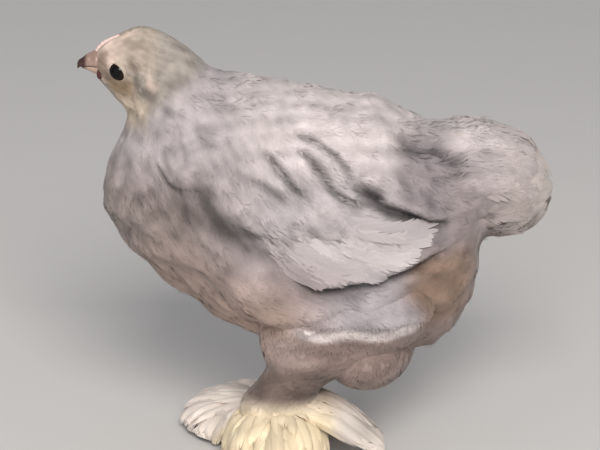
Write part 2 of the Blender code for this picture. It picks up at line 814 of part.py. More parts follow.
def build_wing(side, sign, cutters, nodes, work):
    """A folded wing: a thin shield on the trunk's side under tiers of overlapping feathers."""
    rng = np.random.default_rng({"left": 4, "right": 5}[side])
    rows = [(s.at, s.upper, s.lower, s.lift) for s in WING]
    stations, across = 11, 7
    rings = []
    for i in range(stations):
        at, upper, lower, lift = smooth_values(rows, (len(rows) - 1) * i / (stations - 1))
        outer, inner = [], []
        for j in range(across):
            share = j / (across - 1)
            angle = math.radians(upper + (lower - upper) * share) * -sign
            bulge = 1.0 - (2 * share - 1.0) ** 4
            edge = WING_EDGE_LIFT
            outer.append(trunk_point(at, angle, grow=edge + (lift - edge) * bulge))
            inner.append(trunk_point(at, angle, grow=-WING_DEPTH))
        rings.append(outer + inner[::-1])
    wing = loft(f"wing_{side}", rings, "plumage", nodes)
    vanes = []
    for tier in WING_TIERS:
        for k in range(tier.count):
            share = k / (tier.count - 1)
            start = tuple(a + (b - a) * share for a, b in (tier.root_at, tier.root_angle))
            end = [a + (b - a) * share for a, b in (tier.tip_at, tier.tip_angle)]
            end[0] += rng.uniform(-0.1, 0.1)
            end[1] += rng.uniform(-1.2, 1.2)
            half_width = tier.half_width * rng.uniform(0.93, 1.07)
            lifts = (1.0, tier.tip_lift - 1.0 * share + rng.uniform(-0.2, 0.2))
            bow = rng.uniform(-3.0, -1.0)
            name = f"{tier.name} {k}"
            tilt = rng.uniform(0.9, 1.3)
            vanes.append(trunk_vane(name, start, end, bow, lifts, half_width, tilt, sign, work))
    fuse(wing, vanes)
    cut_away(wing, cutters)


def foot_vane_line(side, sign, tier, bearing, reach, tip_z):
    """(path, normals) of one foot feather: out of the shank, then down in an arch to its tip."""
    forward, outward = math.cos(bearing), math.sin(bearing)
    drop = FRONT_DROP[side] * max(forward, 0.0)
    root_z = tier.root_z - drop
    tip_z = max(tip_z - drop, VANE_THICKNESS + VANE_CAMBER + 0.2)
    level = foot_point(side, sign, forward, outward, 0) - foot_point(side, sign, 0, 0, 0)
    path, normals = [], []
    for step in VANE_STEPS:
        out = FOOT_ROOT + (reach - FOOT_ROOT) * math.sin(math.pi / 2 * step) ** 0.85
        z = root_z - (root_z - tip_z) * step**2
        path.append(foot_point(side, sign, forward * out, outward * out, z))
        normals.append(level * (root_z - tip_z) * 2 * step / reach + np.array([0.0, 0.0, 1.0]))
    return path, normals


def foot_vanes(side, sign, work):
    """The feathers that arch out of the shank all round the foot and droop over the toes."""
    rng = np.random.default_rng({"left": 21, "right": 22}[side])
    vanes = []
    for tier in FOOT_TIERS:
        for k in range(tier.count):
            bearing = 2 * math.pi * (k + tier.phase) / tier.count + rng.uniform(-0.08, 0.08)
            spread = MEAN_REACH + FRONT_REACH[side] * math.cos(bearing) + OUTER_REACH * math.sin(bearing)
            reach = tier.reach * spread * rng.uniform(0.94, 1.06)
            tip_z = tier.tip_z + rng.uniform(0.0, 1.2)
            path, normals = foot_vane_line(side, sign, tier, bearing, reach, tip_z)
            half_width = tier.half_width * rng.uniform(0.92, 1.1)
            tilt = rng.uniform(0.8, 1.2)
            name = f"{tier.name} {k}"
            vanes.append(vane(name, path, normals, half_width, tilt, "foot_feathers", work))
    return vanes


def hock_feathers(side, sign, work):
    """The feathers that sweep back from the shank to the floor, on a core that stands on it."""
    rng = np.random.default_rng(31)
    path = np.array([(x + STRIDE[side], sign * y, z) for x, y, z in HOCK_PATH])
    pieces = [loft("hock core", tube_rings(path, HOCK_RADII, 8, flat=0.0), "foot_feathers", work)]
    for k in range(HOCK_FEATHERS):
        lean = (k / (HOCK_FEATHERS - 1) - 0.5) * 2
        shifted = path + np.outer(HOCK_SPREADS, (0.0, lean, 0.0))
        shifted[:, 2] += np.array(HOCK_LIFTS) - abs(lean) * 1.3
        shifted[:, 0] += rng.uniform(-1.5, 1.0)
        normals = [np.array(HOCK_NORMAL) + (0.0, HOCK_SPLAY * lean, 0.0)] * len(path)
        name = f"hock {k}"
        pieces.append(
            vane(name, shifted, normals, HOCK_HALF_WIDTH, HOCK_TILT, "foot_feathers", work)
        )
    return pieces


def build_leg(side, sign, cutters, nodes, work):
    """Thigh, shank, foot with its toes and feathers, and the claws."""
    thigh = loft(f"thigh_{side}", level_rings(THIGH, side, sign, 9, 20), "plumage", nodes)
    cut_away(thigh, cutters)
    loft(f"shank_{side}", level_rings(SHANK, side, sign, 5, 16, high=GAP), "plumage", nodes)
    ankle_rings = level_rings(ANKLE, side, sign, 7, 16, high=GAP)
    foot = loft(f"foot_{side}", ankle_rings, "foot_feathers", nodes)
    pieces = foot_vanes(side, sign, work) + hock_feathers(side, sign, work)
    claw_ways = []
    for toe in TOES:
        angle = math.radians(toe.angle)
        direction = (math.cos(angle), math.sin(angle))
        path, radii = [], []
        for i in range(TOE_RINGS):
            share = i / (TOE_RINGS - 1)
            reach = toe.length * share
            height = toe.radius * (1.15 - 0.35 * share) + 1.2 * math.sin(math.pi * share)
            path.append(foot_point(side, sign, direction[0] * reach, direction[1] * reach, height))
            radii.append(toe.radius * (1.15 - 0.42 * share) * (0.75 if i == TOE_RINGS - 1 else 1.0))
        toe_rings = tube_rings(path, radii, 8, flat=0.0)
        pieces.append(loft(f"toe {toe.name}", toe_rings, "foot_feathers", work))
        claw(f"claw_{toe.name}_{side}", side, sign, toe, direction, path[-1], 0.0, nodes)
        claw_ways.append(claw("claw way", side, sign, toe, direction, path[-1], GAP, work))
    fuse(foot, pieces)
    cut_away(foot, claw_ways)
    remove_all(claw_ways)


def claw(name, side, sign, toe, direction, root, grow, collection):
    """A claw that curves down from the end of its toe, or its larger shape that clears a way."""
    drawn = bpy.data.curves.new("claw", "CURVE")
    drawn.dimensions = "3D"
    drawn.bevel_depth = (CLAW_RADIUS + grow * 1.2) * MM
    drawn.bevel_resolution = 1
    drawn.use_fill_caps = True
    spline = drawn.splines.new("POLY")
    steps = 5
    spline.points.add(steps - 1)
    for i in range(steps):
        share = i / (steps - 1)
        reach = toe.length + GAP + 0.1 - grow + (CLAW_LENGTH + 2 * grow) * share
        z = root[2] * (1 - share**2) + 0.75 * share**2
        place = foot_point(side, sign, direction[0] * reach, direction[1] * reach, z)
        spline.points[i].co = (*(place * MM), 1.0)
        spline.points[i].radius = 1.0 - 0.78 * share
    return curve_to_mesh(bpy.data.objects.new("claw path", drawn), name, "claw_horn", collection)


def main():
    clear_scene()
    nodes = bpy.data.collections.new("pekin bantam")
    work = bpy.data.collections.new("cutters")
    bpy.context.scene.collection.children.link(nodes)
    bpy.context.scene.collection.children.link(work)
    work.hide_render = True
    build_trunk(nodes, work)
    build_tail(nodes, work)
    build_head(nodes, work)
    build_beak(nodes, work)
    build_wattles(nodes, work)
    build_comb(nodes)
    cutters = clearances(work)
    for side, sign in SIDES:
        build_wing(side, sign, cutters, nodes, work)
        build_leg(side, sign, cutters, nodes, work)
    remove_all(cutters)


main()
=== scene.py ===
"""A young lavender pekin bantam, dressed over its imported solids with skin, coat and feathers.

The bird faces -X, its left side is -Y and the floor is Z = 0. Forms are worked out in millimetres
and become metres where a mesh is made. Each feather and each tuft is a swept strand of solid mesh.
"""

from __future__ import annotations

import logging
import math
from dataclasses import dataclass, field
from enum import Enum

import bpy
import numpy as np
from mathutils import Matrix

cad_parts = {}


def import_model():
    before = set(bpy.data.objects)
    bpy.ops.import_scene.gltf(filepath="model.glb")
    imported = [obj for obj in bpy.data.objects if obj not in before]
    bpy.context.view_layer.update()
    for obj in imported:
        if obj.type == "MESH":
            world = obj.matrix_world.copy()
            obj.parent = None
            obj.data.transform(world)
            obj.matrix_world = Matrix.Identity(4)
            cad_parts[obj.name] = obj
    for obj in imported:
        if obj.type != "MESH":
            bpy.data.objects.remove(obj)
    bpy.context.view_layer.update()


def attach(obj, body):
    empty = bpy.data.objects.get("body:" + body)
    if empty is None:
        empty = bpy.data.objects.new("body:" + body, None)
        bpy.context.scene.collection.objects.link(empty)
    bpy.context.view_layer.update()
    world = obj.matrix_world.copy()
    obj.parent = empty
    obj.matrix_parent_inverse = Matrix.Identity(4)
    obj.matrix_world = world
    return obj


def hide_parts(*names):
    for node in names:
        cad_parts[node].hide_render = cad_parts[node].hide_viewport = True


LOG = logging.getLogger("bantam")
MM = 0.001
BODY = "root"
Array = np.ndarray
Rng = np.random.Generator
seeded = np.random.default_rng
Object = bpy.types.Object
Triple = tuple[float, float, float]
Material = bpy.types.Material
Tree = bpy.types.NodeTree
Node = bpy.types.Node
Socket = bpy.types.NodeSocket
SIDES = (("left", -1.0), ("right", 1.0))
BOTH = (-1.0, 1.0)
ROUND = (-1.0,)
UP = np.array([0.0, 0.0, 1.0])
PATCH = 0.0015
WAYS = 8
FLOOR_GAP = 0.15
FRAME_WIDTH, FRAME_HEIGHT = 600.0, 450.0
POLAR_END = 0.001


# Small helpers for arrays


def table(*rows: tuple[float, ...]) -> Array:
    """Rows of numbers as one array."""
    return np.array(rows, float)


def unit(vectors: Array) -> Array:
    """Vectors of length one along the last axis."""
    return vectors / np.maximum(np.linalg.norm(vectors, axis=-1, keepdims=True), 1e-9)


def ease(values: Array, low: float, high: float) -> Array:
    """Smooth step from 0 at low to 1 at high, also where high is the smaller one."""
    share = np.clip((np.asarray(values, float) - low) / (high - low), 0.0, 1.0)
    return share * share * (3.0 - 2.0 * share)


def linear(red: float, green: float, blue: float) -> Array:
    """A screen colour of 0 to 255 as linear light."""
    share = np.array([red, green, blue], float) / 255.0
    return np.where(share <= 0.04045, share / 12.92, ((share + 0.055) / 1.055) ** 2.4)


def curve_rows(rows: Array, at: Array) -> Array:
    """Catmull-Rom interpolation: a cubic through each pair of rows with slopes from their neighbours.

    Args:
        rows: values of the sections, one row each.
        at: places counted in rows.

    Returns:
        Interpolated rows, with the shape of the places and then of a row.
    """
    at = np.asarray(at, float)
    i = np.clip(np.floor(at).astype(int), 0, len(rows) - 2)
    t = (at - i)[..., None]
    before, start = rows[np.maximum(i - 1, 0)], rows[i]
    end, after = rows[i + 1], rows[np.minimum(i + 2, len(rows) - 1)]
    cubic = (3 * start - before - 3 * end + after) * t**3
    square = (2 * before - 5 * start + 4 * end - after) * t**2
    return 0.5 * (2 * start + (end - before) * t + square + cubic)


def folded(turn: Array) -> Array:
    """Turns in radians brought between minus and plus half a turn."""
    return (np.asarray(turn) + math.pi) % (2 * math.pi) - math.pi


def whole_turn(count: int) -> Array:
    """Evenly spaced turns once round, without the last one."""
    return np.linspace(0, 2 * math.pi, count, endpoint=False)


def ripple(points: Array, size: float, seed: int) -> Array:
    """Smooth waves in space: the mean of eight sines in seeded directions, about -1 to 1.

    Args:
        points: places in millimetres.
        size: length of a wave in millimetres.
        seed: seed of the directions.

    Returns:
        One value for each place.
    """
    rng = seeded(seed)
    ways = unit(rng.normal(size=(WAYS, 3))) * rng.uniform(0.6, 1.5, (WAYS, 1)) * 2 * math.pi / size
    shifts = rng.uniform(0, 2 * math.pi, WAYS)
    return np.sin(points @ ways.T + shifts).mean(-1) * 1.6


# Body forms


def joined_faces(parts: list[tuple[Array, Array]]) -> Array:
    """Triangles of several bodies, counted on through the points of the bodies before them."""
    starts = np.cumsum([0] + [len(points) for points, _ in parts[:-1]])
    return np.concatenate([triangles + start for (_, triangles), start in zip(parts, starts)])


class Form:
    """A smooth body form: a point for each place along it and each turn round it."""

    patch: tuple[float, float, float, float] = (0.0, 0.0, 1.0, 1.0)
    span: tuple[float, float] = (0.0, 1.0)
    steps: tuple[float, float] = (0.02, 0.012)

    def point(self, u: Array, v: Array, grow: Array | float = 0.0) -> Array:
        """Points of the form, grown outwards by some millimetres."""
        raise NotImplementedError

    def tone(self, u: Array, v: Array) -> Array:
        """Factor on the colour: soft random blotches; the trunk's own tone also paints shade into hollows and
        light along edges.
        """
        places = self.point(u, v)
        return 1 + 0.22 * ripple(places, 13.0, 19) + 0.12 * ripple(places, 5.5, 18)

    def lie(self, u: Array, v: Array) -> Array:
        """Angle of the plumage from the form's length towards growing turns, in radians."""
        return np.zeros(np.broadcast(u, v).shape)

    def frame(self, u: Array, v: Array) -> tuple[Array, Array, Array]:
        """Slopes along and round the form, by central differences, and the outward normal."""
        du, dv = self.steps
        along = (self.point(u + du, v) - self.point(u - du, v)) / (2 * du)
        around = (self.point(u, v + dv) - self.point(u, v - dv)) / (2 * dv)
        normal = unit(np.cross(around, along))
        out = self.point(u, v, 1.0) - self.point(u, v)
        normal *= np.where((normal * out).sum(-1, keepdims=True) < 0, -1.0, 1.0)
        return along, around, normal

    def unwrap(self, u: Array, v: Array) -> Array:
        """Place on the form's own patch of the unwrapped skin."""
        left, low, width, height = self.patch
        share = (u - self.span[0]) / (self.span[1] - self.span[0])
        turn = (np.asarray(v) / (2 * math.pi)) % 1.0
        return np.stack([left + width * np.clip(share, 0, 1), low + height * turn], -1)

    def shell(self, count: int, around: int, grow: Array | float) -> tuple[Array, Array]:
        """A closed skin of the form: a grid of rings with each end drawn to a point."""
        u = np.linspace(*self.span, count)
        v = whole_turn(around)
        grow = np.asarray(grow, float)
        rings = self.point(*np.meshgrid(u, v, indexing="ij"), grow[:, None] if grow.ndim == 1 else grow)
        return ring_mesh(rings)


def grid_faces(count: int, around: int, closed: bool = False) -> Array:
    """Triangles of a tube of rings, the last ring joined to the first one where it is closed."""
    i, j = np.meshgrid(np.arange(count if closed else count - 1), np.arange(around), indexing="ij")
    row, below, k = i * around, (i + 1) % count * around, (j + 1) % around
    corner, across = row + j, below + k
    halves = (np.stack([corner, row + k, across], -1), np.stack([corner, across, below + j], -1))
    return np.concatenate(halves).reshape(-1, 3)


def facing_out(points: Array, triangles: Array) -> Array:
    """The triangles of a closed body, turned over where they enclose a volume below zero."""
    p = points[triangles]
    volume = np.einsum("ij,ij->i", p[:, 0], np.cross(p[:, 1], p[:, 2])).sum()
    return triangles if volume > 0 else triangles[:, ::-1]


def ring_mesh(rings: Array) -> tuple[Array, Array]:
    """Points and triangles of a closed body through rings, each end a fan round its middle."""
    count, around = rings.shape[:2]
    j = np.arange(around)
    k = (j + 1) % around
    first, last, top = count * around, count * around + 1, (count - 1) * around
    start = np.stack([np.full(around, first), k, j], -1)
    end = np.stack([np.full(around, last), top + j, top + k], -1)
    points = np.concatenate([rings.reshape(-1, 3), rings[0].mean(0)[None], rings[-1].mean(0)[None]])
    return points, facing_out(points, np.concatenate([grid_faces(count, around), start, end]))


class Trunk(Form):
    """The trunk from the beak's root to the tail: ovals (x, z, pitch, side, up, down) along it."""

    patch = (0.01, 0.01, 0.60, 0.98)
    span = (0.0, 17.0)
    steps = (0.05, 0.018)
    SECTIONS = table(
        (-99.2, 190.4, 2, 4.8, 5.8, 6.6),
        (-95.5, 190.2, 1, 7.6, 10.0, 10.4),
        (-90.5, 189.2, -2, 10.4, 14.2, 14.6),
        (-82.0, 187.4, -11, 13.0, 20.6, 20.4),
        (-73.5, 180.2, -35, 16.0, 23.4, 23.8),
        (-66.5, 170.0, -48, 22.5, 26.6, 38.2),
        (-59.0, 160.0, -50, 30.5, 36.0, 50.2),
        (-51.0, 150.5, -47, 38.0, 44.5, 56.6),
        (-37.0, 134.5, -35, 46.0, 54.0, 57.5),
        (-14.0, 122.0, -17, 50.0, 57.5, 62.0),
        (12.0, 116.5, -4, 49.0, 58.5, 66.0),
        (32.0, 116.5, 5, 44.0, 58.5, 68.0),
        (48.0, 120.0, 14, 38.5, 51.0, 60.0),
        (62.0, 126.0, 19, 33.5, 37.5, 42.0),
        (74.0, 132.0, 10, 29.5, 30.0, 25.0),
        (86.0, 133.5, 2, 27.0, 26.5, 25.0),
        (99.0, 132.5, 0, 21.5, 20.5, 19.0),
        (107.0, 131.5, 0, 7.0, 6.0, 6.0),
    )

    relief: Relief | None = None

    def bare(self, u: Array, v: Array, grow: Array | float = 0.0) -> Array:
        """Oval across the trunk's pitch: turn 0 is the top and a quarter turn is the left side."""
        x, z, pitch, side, up, down = np.moveaxis(curve_rows(self.SECTIONS, u), -1, 0)
        pitch = np.radians(pitch)
        lift = np.cos(v)
        height = (np.where(lift > 0, up, down) + grow) * lift
        across = (side + grow) * np.sin(v)
        return np.stack([x - np.sin(pitch) * height, -across, z + np.cos(pitch) * height], -1)

    def point(self, u: Array, v: Array, grow: Array | float = 0.0) -> Array:
        """The bare oval, raised or sunk by the relief of the plumage."""
        if self.relief is not None:
            grow = grow + self.relief.look_up(self.relief.height, u, v)
        return self.bare(u, v, grow)

    def tone(self, u: Array, v: Array) -> Array:
        """Tone of the relief: random blotches, painted shade in its lines, hollows and at feather roots, and
        painted light on its swells.
        """
        return self.relief.look_up(self.relief.shade, u, v)

    def lie(self, u: Array, v: Array) -> Array:
        """Feathers run tailward, down over the wing and steeply down over the saddle."""
        degrees = np.degrees(np.abs(folded(v)))
        wing = ease(u, 6.0, 7.5) * ease(u, 12.8, 11.6) * ease(degrees, 34, 48) * ease(degrees, 108, 98)
        saddle = ease(u, 11.0, 12.0) * ease(u, 14.0, 13.1) * ease(degrees, 40, 56) * ease(degrees, 100, 88)
        lean = 5.0 * ease(degrees, 8, 50) + 20.0 * wing * (1 - saddle) + 38.0 * saddle
        return np.radians(lean) * np.sign(np.sin(v))


@dataclass(frozen=True)
class Line:
    """A groove in the trunk's plumage, drawn from head to tail, or a feather edge over it.

    Attributes:
        width: half width of the groove in millimetres.
        depth: its depth in millimetres.
        tone: factor on the colour in it: painted shade in a groove below 1, painted light along a swell above
            1.
        rise: height of the feathers that end along its upper side.
        over: height over the bare trunk at which its pixels are looked up.
        pixels: points of the photograph that it runs through.
        places: (place along the trunk, turn in degrees from the top), where it has no pixels.
    """

    width: float
    depth: float
    tone: float
    rise: float = 0.0
    over: float = 2.0
    pixels: tuple[tuple[float, float], ...] = ()
    places: tuple[tuple[float, float], ...] = ()


# A line's tone below 1 is painted shade in its groove; above 1 it is painted light along a swell.
LINES = {
    "wing_roll": Line(11.0, -3.9, 1.03, places=((9.6, 75), (9.82, 77), (10.4, 82), (11.03, 88), (11.45, 91))),
    "upper_swell": Line(4.0, -1.6, 1.03, over=1.0, pixels=((315, 142), (330, 160), (345, 180), (358, 192))),
    "second_swell": Line(
        4.5, -1.8, 1.03, over=1.0,
        pixels=((285, 152), (300, 165), (312, 180), (325, 198)),
    ),
    "third_swell": Line(6.0, -1.6, 1.02, over=1.0, pixels=((245, 150), (262, 170), (280, 192), (300, 205))),
    "lobe_swell": Line(6.5, -2.6, 1.02, over=1.0, pixels=((225, 196), (245, 215), (270, 228))),
    "rump_tuft": Line(5.0, -2.3, 1.04, over=1.0, pixels=((390, 160), (395, 175), (400, 195))),
    "rump_tuft_b": Line(5.0, -2.3, 1.04, over=1.0, pixels=((415, 160), (420, 178), (424, 195))),
    "breast_a": Line(3.5, 0.8, 0.90, over=1.0, pixels=((150, 190), (160, 215), (175, 240))),
    "breast_c": Line(3.0, 0.8, 0.88, over=1.0, pixels=((170, 200), (180, 225), (190, 240))),
    "belly_mark": Line(2.5, 0.7, 0.84, over=1.0, pixels=((255, 272), (272, 276))),
    "flank_hollow": Line(15.0, -7.5, 1.00, places=((8.9, 121), (9.4, 120), (10, 117), (10.7, 114))),
    "wing_top": Line(
        2.2, 4.0, 0.30, 1.1,
        pixels=((303, 131), (314, 137), (322, 142), (337, 154), (347, 165), (352, 174)),
    ),
    "wing_second": Line(
        2.3, 4.2, 0.30, 1.4,
        pixels=((304, 150), (313, 158), (320, 166), (327, 177), (333, 188), (343, 197), (361, 203)),
    ),
    "wing_pit": Line(3.2, 5.5, 0.30, pixels=((361, 189), (370, 193), (379, 196))),
    "wing_tail": Line(
        3.8, 6.1, 0.28, 1.7,
        pixels=((372, 192), (381, 198), (388, 206), (405, 212), (418, 216), (430, 221), (440, 222)),
    ),
    "wing_tail_low": Line(
        1.5, 2.6, 0.46,
        pixels=((361, 203), (374, 207), (386, 212), (404, 217), (423, 221)),
    ),
    "wing_third": Line(
        2.2, 4.0, 0.30, 1.2,
        pixels=((271, 152), (277, 162), (284, 173), (292, 182), (300, 190), (306, 194)),
    ),
    "wing_faint": Line(1.8, 2.2, 0.50, pixels=((246, 180), (257, 184), (267, 188), (277, 195), (284, 201))),
    "front_edge": Line(
        1.9, 3.0, 0.34, 1.8,
        pixels=((158, 168), (161, 175), (167, 184), (174, 191), (182, 195), (194, 195), (204, 196)),
    ),
    "front_line": Line(1.2, 1.8, 0.54, pixels=((190, 175), (197, 178), (206, 177), (217, 178))),
    "hollow_a": Line(5.0, 2.6, 0.60, pixels=((175, 202), (182, 212), (187, 222))),
    "hollow_b": Line(5.6, 4.6, 0.34, places=((7.4, 95), (7.56, 97), (7.87, 99), (8.21, 100), (8.5, 98))),
    "hollow_join": Line(4.0, 1.6, 0.82, pixels=((188, 226), (205, 231), (222, 236))),
    "lobe_low": Line(
        1.9, 3.0, 0.38, 1.5,
        pixels=((243, 229), (252, 236), (263, 240), (274, 242), (284, 242)),
    ),
    "lobe_hook": Line(
        1.8, 3.0, 0.38, 1.0,
        pixels=((312, 228), (317, 236), (322, 241), (332, 242), (342, 240), (352, 241)),
    ),
    "lobe_line": Line(1.4, 1.7, 0.62, pixels=((290, 236), (300, 244), (310, 250), (327, 256))),
    "bars": Line(2.8, 2.9, 0.54, pixels=((262, 255), (272, 260), (284, 262), (296, 263), (308, 265))),
    "wing_low_edge": Line(3.8, 1.6, 0.84, places=((8.45, 100), (8.78, 101), (9.24, 103), (9.59, 105))),
    "back_streak": Line(1.2, 1.1, 0.68, pixels=((257, 103), (270, 100), (285, 97))),
    "shoulder_a": Line(2.0, 0.8, 0.84, pixels=((195, 122), (205, 128), (213, 130))),
    "shoulder_b": Line(1.6, 0.8, 0.84, pixels=((200, 143), (210, 146), (220, 149))),
    "under_wing": Line(
        4.2, 5.5, 0.42, 3.1,
        places=(
            (9.59, 105), (9.75, 106), (9.93, 105), (10.21, 103),
            (10.51, 102), (11.12, 100), (11.72, 99), (12.13, 100),
        ),
    ),
    "under_shade": Line(4.5, 3.2, 0.60, places=((9.6, 108), (9.9, 108), (10.3, 106))),
    "under_thin": Line(1.1, 1.3, 0.66, places=((11.11, 101), (11.58, 102), (11.9, 104))),
    "flank_line": Line(1.5, 1.3, 0.68, pixels=((345, 318), (353, 322), (369, 326))),
    "tail_dark": Line(
        3.2, 4.6, 0.34,
        pixels=((404, 146), (412, 149), (420, 148), (428, 146), (438, 149), (445, 154), (454, 158)),
    ),
    "tail_line": Line(
        1.8, 2.8, 0.38, 0.9,
        pixels=((436, 177), (443, 178), (450, 176), (459, 173), (468, 173)),
    ),
    "tail_top": Line(1.4, 1.7, 0.60, pixels=((456, 125), (462, 123), (472, 122))),
    "tail_right": Line(1.5, 1.7, 0.66, pixels=((487, 202), (498, 200), (510, 200))),
    "tail_low": Line(1.8, 1.4, 0.84, pixels=((480, 221), (500, 223), (515, 224))),
    "fringe_a": Line(1.4, 2.3, 0.52, pixels=((411, 188), (407, 196), (406, 201))),
    "fringe_b": Line(1.6, 2.9, 0.46, pixels=((429, 195), (432, 205), (433, 212))),
    "fringe_c": Line(1.4, 1.7, 0.60, pixels=((402, 180), (405, 188))),
    "cheek": Line(
        1.9, 0.8, 0.50,
        pixels=((130, 59), (133, 67), (136, 76), (136, 85), (140, 94), (148, 97), (152, 100)),
    ),
    "cheek_back": Line(1.5, 0.6, 0.55, places=((3.55, 85), (3.77, 91), (4.06, 91))),
    "nape_tuft": Line(2.0, 1.1, 0.52, pixels=((160, 110), (166, 112), (172, 115))),
    "nape_mark": Line(1.6, 0.5, 0.82, pixels=((166, 82), (174, 85), (182, 89))),
    "throat_base": Line(1.9, 1.3, 0.52, pixels=((127, 116), (133, 119), (139, 122))),
    "crown_mark_a": Line(1.1, 0.4, 0.62, places=((2.42, 34), (2.6, 36))),
    "crown_mark_b": Line(1.4, 0.4, 0.66, places=((2.94, 41), (3.1, 43))),
}


@dataclass
class Sight:
    """Where the trunk shows in the photograph, by the camera's perspective of a fine grid over it.

    A point lies at focus times its level and its upright offset from the target, each divided by
    its distance from the camera, counted from where the middle of the floor plan shows.

    Attributes:
        trunk: the trunk.
        over: height of the grid over the bare trunk in millimetres.
        origin_pixel: point of the photograph where the middle of the floor plan shows.
    """

    trunk: Trunk
    over: float
    origin_pixel: tuple[float, float] = (314.0, 445.0)

    OUT_OF_REACH = 1e6

    def __post_init__(self) -> None:
        """Projects the grid and marks what faces away from the camera."""
        self.u, self.turns = np.linspace(0.2, 16.8, 1661), np.radians(np.linspace(0, 200, 801))
        points = self.trunk.bare(*np.meshgrid(self.u, self.turns, indexing="ij"), self.over)
        tilt = math.radians(Studio.elevation)
        self.back = np.array([0.0, -math.cos(tilt), math.sin(tilt)])
        self.up = np.array([0.0, math.sin(tilt), math.cos(tilt)])
        x, y = self.seen(points)
        origin_x, origin_y = self.seen(np.zeros(3))
        self.x, self.y = self.origin_pixel[0] + x - origin_x, self.origin_pixel[1] - (y - origin_y)
        facing = np.cross(np.gradient(points, axis=1), np.gradient(points, axis=0)) @ self.back
        middle = facing[facing.shape[0] // 2, facing.shape[1] // 2]
        self.hidden = np.where(facing * np.sign(middle) > 0, 0, self.OUT_OF_REACH)

    def seen(self, points: Array) -> tuple[Array, Array]:
        """Level and upright place of points in the view, in pixels from the target."""
        distance = Studio.distance / MM
        off = points - np.array(Studio.target) / MM
        scale = distance / Studio.scale / (distance - off @ self.back)
        return scale * off[..., 0], scale * (off @ self.up)

    def place(self, x: float, y: float) -> tuple[float, float]:
        """The place along the trunk and the turn in degrees that show at a point of the photograph."""
        gap = (self.x - x) ** 2 + (self.y - y) ** 2 + self.hidden
        i, k = np.unravel_index(np.argmin(gap), gap.shape)
        return round(float(self.u[i]), 2), round(math.degrees(self.turns[k]))


